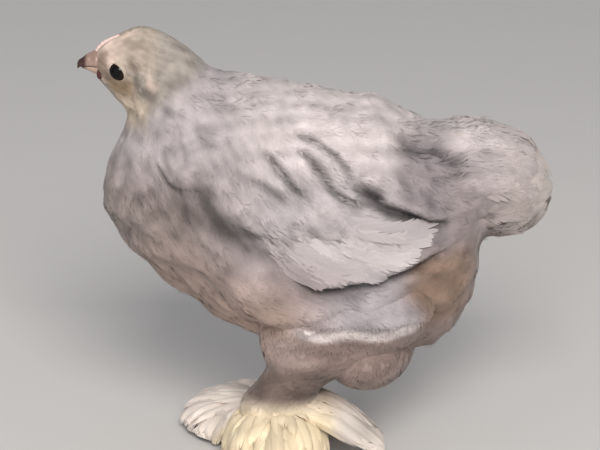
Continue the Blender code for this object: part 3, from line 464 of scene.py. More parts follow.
@dataclass
class Relief:
    """Height and tone of the plumage over the trunk: waves, shingled feathers and the named lines.

    Both are grids of places along the trunk and turns from the top, alike on the two sides. The tone holds
    random blotches, painted shade in grooves, hollows and at feather roots, and painted light on swells and
    raised places.
    """

    trunk: Trunk
    rows: int = 426
    columns: int = 361
    height: Array = field(init=False)
    shade: Array = field(init=False)
    hollow: Array = field(init=False)

    LEAN = math.radians(40.0)
    DEEPEST = 7.0
    SOFTENED, TONED, SPREAD = 5, 3, 40
    # Painted shade in hollows and painted light on raised places: its strength and its limits.
    CAVITY, DARKEST, LIGHTEST = 0.17, 0.60, 1.14
    CORNER, CELLS = np.array([-112.0, 0.0, 20.0]), (230, 62, 195)

    LOBES = table(
        (2.6, 3.0, 2.6, 0.10),
        (4.5, 7.0, 5.5, 0.30),
        (6.0, 9.0, 7.5, 0.42),
        (8.0, 12.0, 9.0, 0.52),
        (10.0, 13.0, 9.5, 0.50),
        (12.0, 14.0, 9.0, 0.60),
        (14.0, 18.0, 9.0, 0.70),
        (16.5, 16.0, 8.0, 0.70),
    )

    def __post_init__(self) -> None:
        """Fills both grids."""
        u = np.linspace(*self.trunk.span, self.rows)
        degrees = np.linspace(0, 180, self.columns)
        self.u, self.degrees = np.meshgrid(u, degrees, indexing="ij")
        self.places = self.trunk.bare(self.u, np.radians(self.degrees))
        body = ease(self.u, 4.0, 6.5)
        x, y, z = np.moveaxis(self.places, -1, 0)
        cos, sin = math.cos(self.LEAN), math.sin(self.LEAN)
        drawn = np.stack([0.35 * (x * cos - z * sin), 0.6 * y, x * sin + z * cos], -1)
        waves = 1.3 * ripple(self.places, 46.0, 3) + 1.3 * ripple(self.places, 21.0, 4)
        self.height = (waves + 0.7 * ripple(self.places, 10.0, 14) + 0.85 * ripple(drawn, 9.0, 15)) * body
        head = 1 - ease(self.u, 4.0, 6.0)
        front = 0.12 * ease(self.u, 9.5, 6.5) * ease(self.degrees, 50, 90)
        self.shade = 1 + 0.09 * ripple(self.places, 30.0, 5) + (0.15 + front) * ripple(self.places, 11.0, 6)
        self.shade += body * ((0.12 + front) * ripple(self.places, 5.5, 16) + 0.16 * ripple(drawn, 6.0, 17))
        self.shade += head * (0.20 * ripple(self.places, 7.0, 7) + 0.24 * ripple(self.places, 3.6, 9))
        self.shingle()
        sights = {over: Sight(self.trunk, over) for over in (1.0, 2.0)}
        for line in LINES.values():
            self.draw(line, line.places or [sights[line.over].place(*pixel) for pixel in line.pixels])
        self.height, self.shade = blurred(self.height, self.SOFTENED), blurred(self.shade, self.TONED)
        sunk = -self.DEEPEST * np.tanh(-self.height / self.DEEPEST)
        self.height = np.where(self.height < 0, sunk, self.height)
        wide = blurred(self.height, self.SPREAD)
        self.hollow = np.clip(wide - self.height, 0, None)
        # Painted shade in the hollows and painted light on the raised places, from the height against its
        # wide blur.
        self.shade *= np.clip(1 + self.CAVITY * (self.height - wide), self.DARKEST, self.LIGHTEST)

    def look_up(self, grid: Array, u: Array, v: Array) -> Array:
        """Value of a grid between its rows and columns, with both sides folded together."""
        turn = np.abs(folded(v)) / math.pi * (self.columns - 1)
        row = np.clip(np.asarray(u, float) / self.trunk.span[1], 0, 1) * (self.rows - 1)
        i = np.clip(np.floor(row).astype(int), 0, self.rows - 2)
        j = np.clip(np.floor(turn).astype(int), 0, self.columns - 2)
        a, b = row - i, turn - j
        low = grid[i, j] * (1 - b) + grid[i, j + 1] * b
        high = grid[i + 1, j] * (1 - b) + grid[i + 1, j + 1] * b
        return low * (1 - a) + high * a

    def near(self, points: Array) -> Array:
        """Tone next to places in space, with its painted shade and light: the tones gathered in cells of a
        millimetre, then spread a little.
        """

        def cells(p: Array) -> Array:
            """Number of the cell that holds each place, both sides folded together."""
            flat = np.stack([p[..., 0], np.abs(p[..., 1]), p[..., 2]], -1).reshape(-1, 3) - self.CORNER
            return np.ravel_multi_index(np.clip(flat.astype(int), 0, np.array(self.CELLS) - 1).T, self.CELLS)

        def gathered(weights: Array | None) -> Array:
            """Sum of the weights in each cell, spread over its neighbours."""
            sums = np.bincount(at, weights, int(np.prod(self.CELLS))).reshape(self.CELLS)
            return blurred(sums.astype(np.float32), 3)

        at = cells(self.trunk.bare(self.u, np.radians(self.degrees), self.height))
        tones, counts = gathered(self.shade.ravel()), gathered(None)
        mean = np.where(counts > 1e-4, tones / np.maximum(counts, 1e-4), 1.0)
        return mean.ravel()[cells(points)]

    def shingle(self, count: int = 1500) -> None:
        """Overlapping feathers: each rises from its root to a rounded tip, and the highest one shows."""
        rng = seeded(8)
        step_u, step_v = self.trunk.span[1] / (self.rows - 1), 180.0 / (self.columns - 1)
        u, degrees = rng.uniform(2.2, 17.0, count * 3), rng.uniform(0, 180, count * 3)
        along, around, _ = self.trunk.frame(u, np.radians(degrees))
        speed_u, speed_v = np.linalg.norm(along, axis=-1), np.linalg.norm(around, axis=-1) * math.pi / 180
        chosen = rng.choice(count * 3, count, replace=False, p=speed_u * speed_v / (speed_u * speed_v).sum())
        raised, tint = np.zeros_like(self.height), np.ones_like(self.height)
        for k in chosen:
            length, width, high = (np.interp(u[k], self.LOBES[:, 0], self.LOBES[:, c]) for c in (1, 2, 3))
            high *= rng.uniform(0.7, 1.2) * (0.55 if degrees[k] > 125 and u[k] < 13 else 1.0)
            lean = float(self.trunk.lie(u[k], math.radians(degrees[k]))) + rng.normal(0, 0.14)
            reach = int(length / speed_u[k] / step_u) + 2
            wide = int((width + length * abs(math.sin(lean))) / max(speed_v[k], 0.02) / step_v) + 2
            i, j = int(u[k] / step_u), int(degrees[k] / step_v)
            rows = slice(max(i - 2, 0), min(i + reach, self.rows))
            columns = slice(max(j - wide, 0), min(j + wide, self.columns))
            dx = (self.u[rows, columns] - u[k]) * speed_u[k]
            dy = (self.degrees[rows, columns] - degrees[k]) * speed_v[k]
            s = (dx * math.cos(lean) + dy * math.sin(lean)) / length
            c = (dy * math.cos(lean) - dx * math.sin(lean)) / (width / 2)
            inside = (s > 0) & (c * c + np.clip((s - 0.55) / 0.45, 0, 1) ** 2 < 1)
            h = np.where(inside, high * s * (1 - 0.45 * c * c) + 1e-4, 0.0)
            over = h > raised[rows, columns]
            raised[rows, columns] = np.where(over, h, raised[rows, columns])
            # Painted shade: each feather a little darker towards its root, under the one before it, times a
            # random tone.
            tone = rng.normal(1.0, 0.028) * (0.95 + 0.07 * s)
            tint[rows, columns] = np.where(over, tone, tint[rows, columns])
        self.height += raised
        self.shade *= tint

    def draw(self, line: Line, places: list | tuple) -> None:
        """Sinks a line into the grids and raises the feathers that end above it."""
        knots = np.array(places, float)
        at = curve_rows(knots, np.linspace(0, len(knots) - 1, 10 * len(knots)))
        path = self.trunk.bare(at[:, 0], np.radians(at[:, 1]))
        margin = 3.2 * line.width + 3.0 * line.rise + 2.0
        near = ((self.places > path.min(0) - margin) & (self.places < path.max(0) + margin)).all(-1)
        p = self.places[near]
        gap = np.linalg.norm(p[:, None] - path[None], axis=-1)
        k = np.clip(gap.argmin(1), 1, len(path) - 2)
        distance = gap.min(1)
        step = at[k + 1] - at[k - 1]
        off = np.stack([self.u[near], self.degrees[near]], -1) - at[k]
        below = step[:, 0] * off[:, 1] - step[:, 1] * off[:, 0] > 0
        end = np.minimum(gap[:, 0], gap[:, -1])
        fade = ease(end, 0.0, 3.0) * 0.6 + 0.4
        bell = np.exp(-((distance / line.width) ** 2))
        sunk = -line.depth * bell
        if line.rise:
            sunk = np.where(below, sunk, line.rise * np.exp(-distance / (2.2 * line.rise + 1.5)))
            bell = np.where(below, bell, np.exp(-((distance / (0.35 * line.width)) ** 2)))
        self.height[near] += sunk * fade
        # Painted shade into the groove, and painted light along a swell, by the line's tone.
        self.shade[near] *= 1 + (line.tone - 1) * bell * fade


def blurred(grid: Array, turns: int) -> Array:
    """The grid smoothed a number of times, by half of each cell and a quarter of each neighbour."""
    for axis in list(range(grid.ndim)) * turns:
        ends = [(1, 1) if k == axis else (0, 0) for k in range(grid.ndim)]
        wide = np.pad(grid, ends, mode="edge")
        first, last = (np.take(wide, range(k, k + grid.shape[axis]), axis=axis) for k in (0, 2))
        grid = 0.25 * first + 0.5 * grid + 0.25 * last
    return grid


STRIDE = {"left": 0.0, "right": -5.0}
FOOT_YAW = {"left": 32.0, "right": 2.0}
FOOT_X, FOOT_Y = -16.5, 24.0


@dataclass
class Leg(Form):
    """A leg from flank to floor: level ovals (height, x, y, half x, half y) down it."""

    side: str
    sign: float
    span: tuple[float, float] = (0.0, 13.0)
    FAR_SHANK = ((5, -16.5), (14, -14.5), (26, -11.0), (35, -8.5), (43, -6.0), (52, -2.0), (58, 6.0))
    LEVELS = table(
        (104, 22.0, 22.0, 22.0, 9.0),
        (93, 21.0, 29.5, 31.0, 15.5),
        (84, 20.5, 33.0, 34.0, 20.0),
        (78, 16.0, 33.0, 37.5, 18.5),
        (70, 12.0, 31.5, 37.0, 16.5),
        (63, 8.0, 30.0, 32.5, 14.0),
        (57, 3.0, 28.8, 26.0, 14.0),
        (52, -1.5, 27.5, 20.5, 12.5),
        (47, -7.0, 26.5, 17.5, 11.8),
        (42, -12.0, 25.8, 16.0, 11.5),
        (35, -16.5, 25.0, 17.0, 12.0),
        (26, -17.5, 24.4, 16.5, 12.0),
        (14, -16.5, 24.0, 10.0, 9.0),
        (5, -16.5, 24.0, 8.0, 7.5),
    )

    def __post_init__(self) -> None:
        """The two legs have their own patches; the far shank is slim, the near one flares over the foot."""
        self.patch = (0.63 if self.sign < 0 else 0.82, 0.01, 0.16, 0.48)
        self.levels = self.LEVELS.copy()
        if self.sign > 0:
            low = self.levels[:, 0] < 60
            self.levels[low, 3] = np.minimum(self.levels[low, 3] * 0.78, 7.8)
            self.levels[low, 1] = np.interp(self.levels[low, 0], *np.transpose(self.FAR_SHANK))

    def lie(self, u: Array, v: Array) -> Array:
        """Feathers run back and down over the thigh and straight down the shank."""
        z = curve_rows(self.levels, u)[..., 0]
        return -0.75 * np.sin(v) * ease(z, 56, 74)

    def point(self, u: Array, v: Array, grow: Array | float = 0.0) -> Array:
        """Level oval, moved along X by the stride below the flank."""
        z, x, y, half_x, half_y = np.moveaxis(curve_rows(self.levels, u), -1, 0)
        x = x + STRIDE[self.side] * ease(z, 50.0, 22.0)
        x, y = x + (half_x + grow) * np.cos(v), self.sign * (y + (half_y + grow) * np.sin(v))
        return np.stack([x, y, z + 0 * v], -1)


@dataclass
class Ball(Form):
    """The fluff under the vent: an ellipsoid, by its polar angle and its turn round upright."""

    centre: Triple = (24.0, 0.0, 57.5)
    radii: Triple = (24.0, 43.0, 22.3)
    span: tuple[float, float] = (POLAR_END, math.pi - POLAR_END)
    patch: tuple[float, float, float, float] = (0.63, 0.51, 0.16, 0.20)

    def point(self, u: Array, v: Array, grow: Array | float = 0.0) -> Array:
        """Ellipsoid point for a polar angle and a turn."""
        out = np.stack([np.sin(u) * np.cos(v), np.sin(u) * np.sin(v), np.cos(u) + 0 * v], -1)
        reach = np.array(self.radii) + np.asarray(grow)[..., None]
        return np.array(self.centre) + reach * out


@dataclass
class Toe(Form):
    """A toe of a foot: a round tube from the ankle, flat where it meets the floor."""

    side: str
    sign: float
    name: str
    angle: float
    length: float
    radius: float
    slot: int = 0

    def __post_init__(self) -> None:
        """Each toe has its own small patch."""
        self.patch = (0.63 + 0.09 * self.slot, 0.74 if self.sign < 0 else 0.87, 0.08, 0.11)

    def axis(self, u: Array) -> Array:
        """Middle line of the toe, arched a little over its length."""
        turn = math.radians(self.angle)
        height = self.radius * (1.15 - 0.35 * u) + 1.2 * np.sin(math.pi * u)
        ahead, aside = math.cos(turn) * self.length * u, math.sin(turn) * self.length * u
        return foot_point(self.side, self.sign, ahead, aside, height)

    def point(self, u: Array, v: Array, grow: Array | float = 0.0) -> Array:
        """Round section across the toe's middle line, held above the floor."""
        u = np.asarray(u, float)
        centre = self.axis(u)
        travel = unit(self.axis(u + 0.01) - self.axis(u - 0.01))
        side = unit(np.cross(UP, travel))
        rise = np.cross(travel, side)
        knuckle = 1.0 + 0.07 * np.cos(u * 6 * math.pi)
        rounded = np.clip((1.02 - u) / 0.14, 0.2, 1.0) ** 0.5
        radius = (self.radius * (1.12 - 0.4 * u) * knuckle * rounded + grow)[..., None]
        point = centre + radius * (side * np.cos(v)[..., None] + rise * np.sin(v)[..., None])
        point[..., 2] = np.maximum(point[..., 2], 0.02)
        return point


def foot_point(side: str, sign: float, forward: Array, outward: Array, z: Array) -> Array:
    """Point of a foot's floor plan, turned out with the foot, at a height."""
    yaw = math.radians(FOOT_YAW[side])
    along = forward * math.cos(yaw) - outward * math.sin(yaw)
    across = forward * math.sin(yaw) + outward * math.cos(yaw)
    x = FOOT_X + STRIDE[side] - along
    return np.stack(np.broadcast_arrays(x, sign * (FOOT_Y + across), z), -1).astype(float)


TOES = (
    ("middle", 0.0, 35.0, 3.6),
    ("inner", -42.0, 30.0, 3.2),
    ("outer", 28.0, 30.0, 3.2),
    ("hind", 165.0, 23.0, 2.8),
)


# Markings, one rule for skin and coat alike


def marking(red: float, green: float, blue: float) -> Array:
    """A field of the markings that holds a screen colour as linear light."""
    return field(default_factory=lambda: linear(red, green, blue))


@dataclass(frozen=True)
class Markings:
    """Colours of the young lavender plumage, chosen by place on the bird, some with painted light and shade
    in them.
    """

    lavender: Array = marking(168, 158, 159)
    # Painted light: the wing a touch lighter, where the light falls on it.
    wing: Array = marking(169, 160, 161)
    # Painted light on the lit lower lobe of the folded wing.
    wing_low: Array = marking(196, 187, 186)
    # Painted light: the tail's end lighter, as it faces away from the key.
    tail: Array = marking(184, 173, 167)
    # Painted shade: the sides of the rump below its lit top.
    saddle: Array = marking(141, 131, 133)
    moss: Array = marking(164, 156, 140)
    blush: Array = marking(206, 182, 168)
    # Painted light: the top of the back lighter, lit from above.
    back: Array = marking(199, 188, 186)
    hackle: Array = marking(153, 144, 136)
    crown: Array = marking(174, 160, 146)
    # Pinkish forehead: partly its own colour, partly painted light where the head turns aside from the light.
    forehead: Array = marking(206, 184, 170)
    flank: Array = marking(166, 157, 160)
    # Painted shadow under the tail.
    under_tail_shadow: Array = marking(144, 132, 130)
    # Painted highlight along the lit lower edge of the flank feathers.
    rim: Array = marking(210, 198, 195)
    cheek: Array = marking(138, 119, 96)
    throat: Array = marking(188, 172, 154)
    # Darker breast: partly its own colour, partly painted shade where it faces down and away from the light.
    breast: Array = marking(139, 126, 121)
    # Painted shade and painted warm bounce light from the floor on the belly.
    belly: Array = marking(156, 134, 123)
    # Painted shade: the fluff under the vent lies in the shadow of the flank feathers.
    fluff: Array = marking(139, 120, 113)
    thigh: Array = marking(164, 145, 138)
    # Darker and warmer under the rear: painted shade and painted warm bounce light.
    vent: Array = marking(136, 113, 98)
    # Painted shade: the shank in the shadow under the body.
    leg: Array = marking(108, 93, 86)
    lore: Array = marking(136, 114, 100)
    white: Array = marking(222, 210, 200)
    cream: Array = marking(236, 217, 184)

    def colour(self, p: Array) -> Array:
        """Linear colour at places in millimetres.

        The base lavender gives way to each marking by smooth steps in x, y and z: painted light on the back,
        wing and tail, darker and warmer below with painted shade and painted bounce light, creamy on the head
        and throat, olive on the cheek, and cream to white on the feet.

        Args:
            p: places, the last axis holding x, y and z.

        Returns:
            Colours of the same shape.
        """
        x, y, z = p[..., 0], np.abs(p[..., 1]), p[..., 2]
        out = np.broadcast_to(self.lavender, p.shape).copy()

        def lay(colour: Array, mask: Array) -> None:
            """Lays a colour over the others by its mask."""
            out[...] = out + (colour - out) * np.clip(mask, 0, 1)[..., None]

        def band(values: Array, rise: float, full: float, ebb: float, end: float) -> Array:
            """Mask that grows from rise to full and fades from ebb to end."""
            return ease(values, rise, full) * ease(values, end, ebb)

        # Painted light: the wing a touch lighter, where the light falls on it.
        lay(self.wing, ease(y, 38, 44) * band(z, 104, 112, 146, 156) * band(x, -30, -14, 44, 56))
        # Painted light on the lit lower lobe of the folded wing.
        lay(self.wing_low, ease(y, 28, 40) * band(z, 101, 109, 116, 130) * band(x, -20, 4, 44, 64))
        # Painted light: the top of the back lighter, lit from above.
        lay(self.back, ease(z, 142, 164) * band(x, -42, -22, 36, 56))
        # Painted shade: the sides of the rump below its lit top.
        lay(self.saddle, band(x, 32, 44, 60, 72) * ease(z, 170, 160) * ease(y, 10, 20))
        # Painted light: the top of the back lighter, lit from above.
        lay(self.back, ease(z, 150, 162) * ease(x, 56, 68))
        # Darker breast: partly its own colour, partly painted shade where it faces down and away from the
        # light.
        lay(self.breast, ease(x, -20, -62) * ease(z, 160, 128))
        lay(self.flank, ease(z, 120, 106) * ease(x, -40, -10) * ease(z, 76, 82))
        # Painted shade and painted warm bounce light from the floor on the belly.
        lay(self.belly, ease(z, 128, 80) * ease(x, 20, -20))
        # Painted shadow under the tail.
        lay(self.under_tail_shadow, ease(z, 160, 120) * ease(x, 56, 68))
        # Painted light: the tail's end lighter, as it faces away from the key.
        lay(self.tail, ease(x, 72, 108) * ease(z, 108, 122))
        # Darker and warmer under the rear: painted shade and painted warm bounce light.
        lay(self.vent, ease(z, 120, 104) * band(x, 32, 48, 66, 84) * ease(y, 50, 38))
        lay(self.thigh, ease(z, 76, 68) * ease(x, -30, -16))
        # Painted shade: the fluff under the vent lies in the shadow of the flank feathers.
        lay(self.fluff, ease(z, 78, 71) * ease(x, -14, 6))
        # Painted shade: the shank in the shadow under the body.
        lay(self.leg, ease(z, 62, 48) * ease(x, 16, 4))
        lay(self.hackle, ease(x - 1.27 * (z - 190), -44, -58) * ease(z, 146, 160))
        head = ease(x, -66, -78) * ease(z, 160, 172)
        lay(self.crown, head * ease(z, 184, 196))
        patch = ripple(p, 11.0, 41)
        crown = head * ease(z, 172, 184)
        lay(self.moss, 0.6 * crown * ease(patch, 0.1, 0.8))
        lay(self.blush, 0.6 * crown * ease(patch, -0.1, -0.8))
        # Pinkish forehead: partly its own colour, partly painted light where the head turns aside from the
        # light.
        lay(self.forehead, ease(x, -82, -93) * ease(z, 188, 195))
        bridle = 0.75 * band(x, -101, -98.5, -95.5, -92.5)
        lay(self.lore, bridle * band(z, 184, 188, 196, 200) * ease(y, 3, 5))
        lay(self.cheek, head * ease(x, -78, -85) * ease(z, 190, 184) * ease(y, 5, 9))
        lay(self.throat, head * ease(z, 181, 174) * ease(x, -72, -79))
        hem = z + 1.3 * np.sin(0.23 * x + 0.8)
        # Painted highlight along the lit lower edge of the flank feathers.
        lay(self.rim, band(hem, 72, 75, 77, 80) * ease(y, 40, 46) * band(x, -14, -2, 44, 54))
        foot = np.maximum(ease(z, 40, 27) * ease(y, 4, 8), ease(z, 26, 20))
        lay(self.white, foot)
        # Painted light: the far foot lighter, where the body's shadow falls on it.
        lay(self.white * 1.25, foot * ease(p[..., 1], -2, 4))
        lay(self.cream, foot * ease(-p[..., 1], 0, 6) * ease(x, 14, 4))
        return out


MARKINGS = Markings()


# Strands: tufts, vanes and barbs as closed swept mesh


@dataclass
class Strands:
    """Many closed strands swept along paths, each ending in a point.

    Attributes:
        path: middle lines (strands, rings, 3) in millimetres.
        facing: outward directions of the same shape.
        half: half widths (strands, rings).
        rise: height of the middle over the edges (strands, rings).
        colour: linear colours (strands, 3), or (strands, rings, 3) where they change along it.
        unwrap: places of the roots on the unwrapped skin (strands, 2).
        columns: points across a ring.
        bend: how far the shading turns from edge to edge.
        root_shade: share of the colour at the root, where feathers lie in each other's shade.
    """

    path: Array
    facing: Array
    half: Array
    rise: Array
    colour: Array
    unwrap: Array
    columns: int = 3
    bend: float = 0.35
    root_shade: float = 0.72

    def arrays(self) -> dict[str, Array]:
        """Points, normals, colours, unwrap and triangles of all strands.

        A ring lies across the path: each point is the middle plus a share c of the half width,
        c from -1 to 1, and 1 - c squared of the rise. The last ring is drawn to the tip.
        """
        n, r = self.path.shape[:2]
        k = self.columns
        along = unit(np.gradient(self.path, axis=1))
        level = unit(np.cross(unit(self.facing.mean(1)), unit(self.path[:, -1] - self.path[:, 0])))[:, None]
        across = unit(np.cross(self.facing, along))
        across *= np.where((across * level).sum(-1, keepdims=True) < 0, -1.0, 1.0)
        across = unit(across + level)
        face = unit(self.facing - across * (self.facing * across).sum(-1, keepdims=True))
        c = np.linspace(-1.0, 1.0, k)
        points = (
            self.path[:, :, None]
            + across[:, :, None] * (self.half[:, :, None] * c)[..., None]
            + face[:, :, None] * (self.rise[:, :, None] * (1 - c * c))[..., None]
        )
        normals = unit(face[:, :, None] + across[:, :, None] * (c * self.bend)[:, None])
        step = np.linspace(0.0, 1.0, r)
        shade = (self.root_shade + (1.04 - self.root_shade) * step**0.8)[None, :, None, None]
        base = self.colour[:, None, None] if self.colour.ndim == 2 else self.colour[:, :, None]
        colours = np.broadcast_to(base * shade, points.shape)
        patch = np.stack(np.broadcast_arrays(c * PATCH, (2 * step[:, None] - 1) * PATCH), -1)
        maps = self.unwrap[:, None, None] + patch

        def closed(values: Array, tip: Array) -> Array:
            """Values of all rings but the last, and then the tip's, strand by strand."""
            width = values.shape[-1]
            return np.concatenate([values[:, :-1].reshape(n, -1, width), tip[:, None]], 1).reshape(-1, width)

        middle = k // 2
        i, j = (g.ravel() for g in np.meshgrid(np.arange(r - 2), np.arange(k), indexing="ij"))
        m = (j + 1) % k
        a, b, d, e = i * k + j, i * k + m, (i + 1) * k + j, (i + 1) * k + m
        j = np.arange(k)
        tip = np.full(k, (r - 1) * k)
        cap = np.arange(1, k - 1)
        faces = np.concatenate(
            [
                np.stack([a, d, e], -1),
                np.stack([a, e, b], -1),
                np.stack([(r - 2) * k + j, tip, (r - 2) * k + (j + 1) % k], -1),
                np.stack([np.zeros(k - 2, int), cap, cap + 1], -1),
            ]
        )
        under = np.tile(np.arange(k) == k - 1, r - 2)
        under = np.concatenate([under, under, np.arange(k) == k - 1, np.zeros(k - 2, bool)])
        per = (r - 1) * k + 1
        return {
            "points": closed(points, self.path[:, -1]),
            "normals": closed(normals, face[:, -1]),
            "colours": closed(colours, colours[:, -1, middle]),
            "maps": closed(maps, maps[:, -1, middle]),
            "triangles": (faces[None] + (np.arange(n) * per)[:, None, None]).reshape(-1, 3),
            "under": np.tile(under, n),
        }


def strand_object(name: str, bundles: list[Strands], finish: Finish) -> Object:
    """One mesh object of all the strands, with its markings, bake map and soft shading.

    Args:
        name: name of the piece.
        bundles: the strands that it joins.
        finish: its finish.

    Returns:
        The new object.
    """
    parts = [bundle.arrays() for bundle in bundles]
    triangles = joined_faces([(p["points"], p["triangles"]) for p in parts])
    keys = ("points", "normals", "colours", "maps", "under")
    joined = {key: np.concatenate([p[key] for p in parts]) for key in keys}
    joined["points"][:, 2] = np.maximum(joined["points"][:, 2], FLOOR_GAP)
    made = mesh_object(name, joined["points"], triangles, finish)
    mesh = made.data
    paint(mesh, joined["colours"])
    layer = mesh.uv_layers.new(name="OFBake")
    layer.data.foreach_set("uv", joined["maps"][triangles.ravel()].astype(np.float32).ravel())
    normals = joined["normals"][triangles] * np.where(joined["under"], -1.0, 1.0)[:, None, None]
    mesh.normals_split_custom_set(normals.reshape(-1, 3).astype(np.float32))
    return made


def linked(name: str, data: bpy.types.ID) -> Object:
    """A new object of the scene that holds some data."""
    made = bpy.data.objects.new(name, data)
    bpy.context.scene.collection.objects.link(made)
    return made


def mesh_object(name: str, points: Array, triangles: Array, finish: Finish) -> Object:
    """A smooth mesh object from points in millimetres and triangles."""
    mesh = bpy.data.meshes.new(name)
    mesh.vertices.add(len(points))
    mesh.vertices.foreach_set("co", (points * MM).astype(np.float32).ravel())
    mesh.loops.add(triangles.size)
    mesh.loops.foreach_set("vertex_index", triangles.astype(np.int32).ravel())
    mesh.polygons.add(len(triangles))
    mesh.polygons.foreach_set("loop_start", np.arange(0, triangles.size, 3, dtype=np.int32))
    mesh.update(calc_edges=True)
    mesh.shade_smooth()
    mesh.materials.append(finish.material())
    return linked(name, mesh)


def paint(mesh: bpy.types.Mesh, colours: Array) -> None:
    """Writes the markings into the mesh, one colour for each point."""
    layer = mesh.color_attributes.new("Marking", "FLOAT_COLOR", "POINT")
    full = np.concatenate([colours, np.ones((len(colours), 1))], 1)
    layer.data.foreach_set("color", full.astype(np.float32).ravel())
    mesh.color_attributes.active_color = layer


def register(piece: Object, slot: str, *nodes: str) -> None:
    """Puts a piece on the body and hides the solids that it stands for."""
    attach(piece, BODY)
    if nodes:
        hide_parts(*nodes)
    LOG.info("%s: %d triangles", piece.name, sum(len(p.vertices) - 2 for p in piece.data.polygons))


# Tufts on a form


@dataclass(frozen=True)
class Zone:
    """One part of the coat: where its tufts spring on a form and how many there are.

    The range of turns is in degrees from the top, on both sides of the body.
    """

    name: str
    start: float
    end: float
    low: float
    high: float
    count: int
    strands: int = 4
    steps: int = 3
    seed: int = 1


@dataclass(frozen=True)
class Growth:
    """Size of the strands for places along a form: length, half width, height over it, root's depth.

    Attributes:
        table: rows of (place, length, half width, height, depth).
        fan: angle in degrees between the middle and the outer strands of a tuft.
        contrast: spread of the brightness from tuft to tuft.
        stray: spread of the headings in radians.
        tuck: height of the tip as a share of the strand's height.
    """

    table: tuple[tuple[float, ...], ...]
    fan: float = 13.0
    contrast: float = 0.018
    stray: float = 0.09
    tuck: float = 0.3

    def at(self, u: Array) -> Array:
        """The four sizes at places along the form, one row for each size."""
        table = np.array(self.table)
        return np.stack([np.interp(u, table[:, 0], table[:, k]) for k in range(1, 5)])


def scatter(form: Form, zone: Zone, rng: Rng, sides: tuple = BOTH) -> tuple[Array, Array]:
    """Places for roots, spread evenly over the form's area.

    Args:
        form: the form that carries the tufts.
        zone: the part of it that they cover.
        rng: seeded generator.
        sides: the sides of the form that are used.

    Returns:
        Places along the form and turns round it.
    """
    total = zone.count * 3
    u = rng.uniform(zone.start, zone.end, total)
    v = np.radians(rng.uniform(zone.low, zone.high, total)) * -rng.choice(sides, total)
    along, around, _ = form.frame(u, v)
    area = np.linalg.norm(np.cross(along, around), axis=-1)
    chosen = rng.choice(total, zone.count, replace=False, p=area / area.sum())
    return u[chosen], v[chosen]


def tufts(form: Form, growth: Growth, zone: Zone, rng: Rng, u: Array, v: Array) -> Strands:
    """Feather tufts on a form: each is a fan of strands that share a root and a lie.

    A strand runs over the form from its root, below the coat, to its tip, above it. Its place at
    step s is the root plus s times the length along its heading. Its height over the form goes
    from the root's depth to its own height two thirds along, and back to a share of it at the tip.

    Args:
        form: the form that carries the tufts.
        growth: their sizes.
        zone: strands in a tuft and rings along a strand.
        rng: seeded generator.
        u: places of the roots along the form.
        v: turns of the roots.

    Returns:
        The strands.
    """
    length, half, high, depth = growth.at(u)
    root = form.point(u, v)
    n, strands = len(u), zone.strands
    fan = np.linspace(-1, 1, strands) if strands > 1 else np.zeros(1)
    heading = form.lie(u, v)[:, None] + math.radians(growth.fan) * fan
    heading = heading + rng.normal(0, growth.stray, (n, strands))
    heading += rng.normal(0, growth.stray, (n, 1)) + (0.16 * ripple(root, 21.0, zone.seed + 5))[:, None]
    reach = length[:, None] * rng.uniform(0.75, 1.12, (n, strands)) * (1 - 0.10 * np.abs(fan))
    stand = high[:, None] * rng.normal(1.0, 0.14, (n, strands)) + high[:, None] * rng.normal(0, 0.12, (n, 1))
    bright = rng.normal(1.0, growth.contrast, (n, 1)) * rng.normal(1.0, growth.contrast, (n, strands))
    along, around, _ = form.frame(u, v)
    speed_u = np.linalg.norm(along, axis=-1)[:, None]
    speed_v = np.maximum(np.linalg.norm(around, axis=-1), 0.5)[:, None]
    side = fan * half[:, None] * 1.6
    u0 = (u[:, None] - np.sin(heading) * side / speed_u).ravel()
    v0 = (v[:, None] + np.cos(heading) * side / speed_v).ravel()
    run_u = (np.cos(heading) * reach / speed_u).ravel()
    run_v = (np.sin(heading) * reach / speed_v).ravel()
    step = np.array([0.0, 0.6, 1.0]) if zone.steps == 3 else np.linspace(0, 1, zone.steps)
    uu = np.clip(u0[:, None] + run_u[:, None] * step, form.span[0], form.span[1])
    vv = v0[:, None] + run_v[:, None] * step
    deep = np.repeat(depth, strands)[:, None]
    rise = np.interp(step, (0.0, 0.33, 0.67, 1.0), (0.0, 0.85, 1.0, growth.tuck))
    path = form.point(uu, vv, stand.ravel()[:, None] * rise - deep * (1 - step) ** 3)
    _, _, facing = form.frame(uu, vv)
    taper = np.interp(step, (0.0, 0.35, 0.72, 1.0), (0.75, 1.0, 0.96, 0.0))
    width = np.repeat(half, strands)[:, None] * rng.uniform(0.8, 1.15, (n * strands, 1)) * taper
    colour = MARKINGS.colour(path) * (form.tone(uu, vv) * bright.reshape(-1, 1))[..., None]
    return Strands(
        path=path,
        facing=facing,
        half=width,
        rise=width * 0.08 + 0.012,
        colour=np.clip(colour, 0, 1),
        unwrap=np.repeat(form.unwrap(u, v), strands, axis=0),
        bend=0.10,
        root_shade=0.92,
    )


def grown(form: Form, growth: Growth, zone: Zone, rng: Rng, sides: tuple = BOTH) -> Strands:
    """The tufts of a zone, rooted where the same generator scatters them."""
    return tufts(form, growth, zone, rng, *scatter(form, zone, rng, sides))


# Feathers with a shaft and barbs


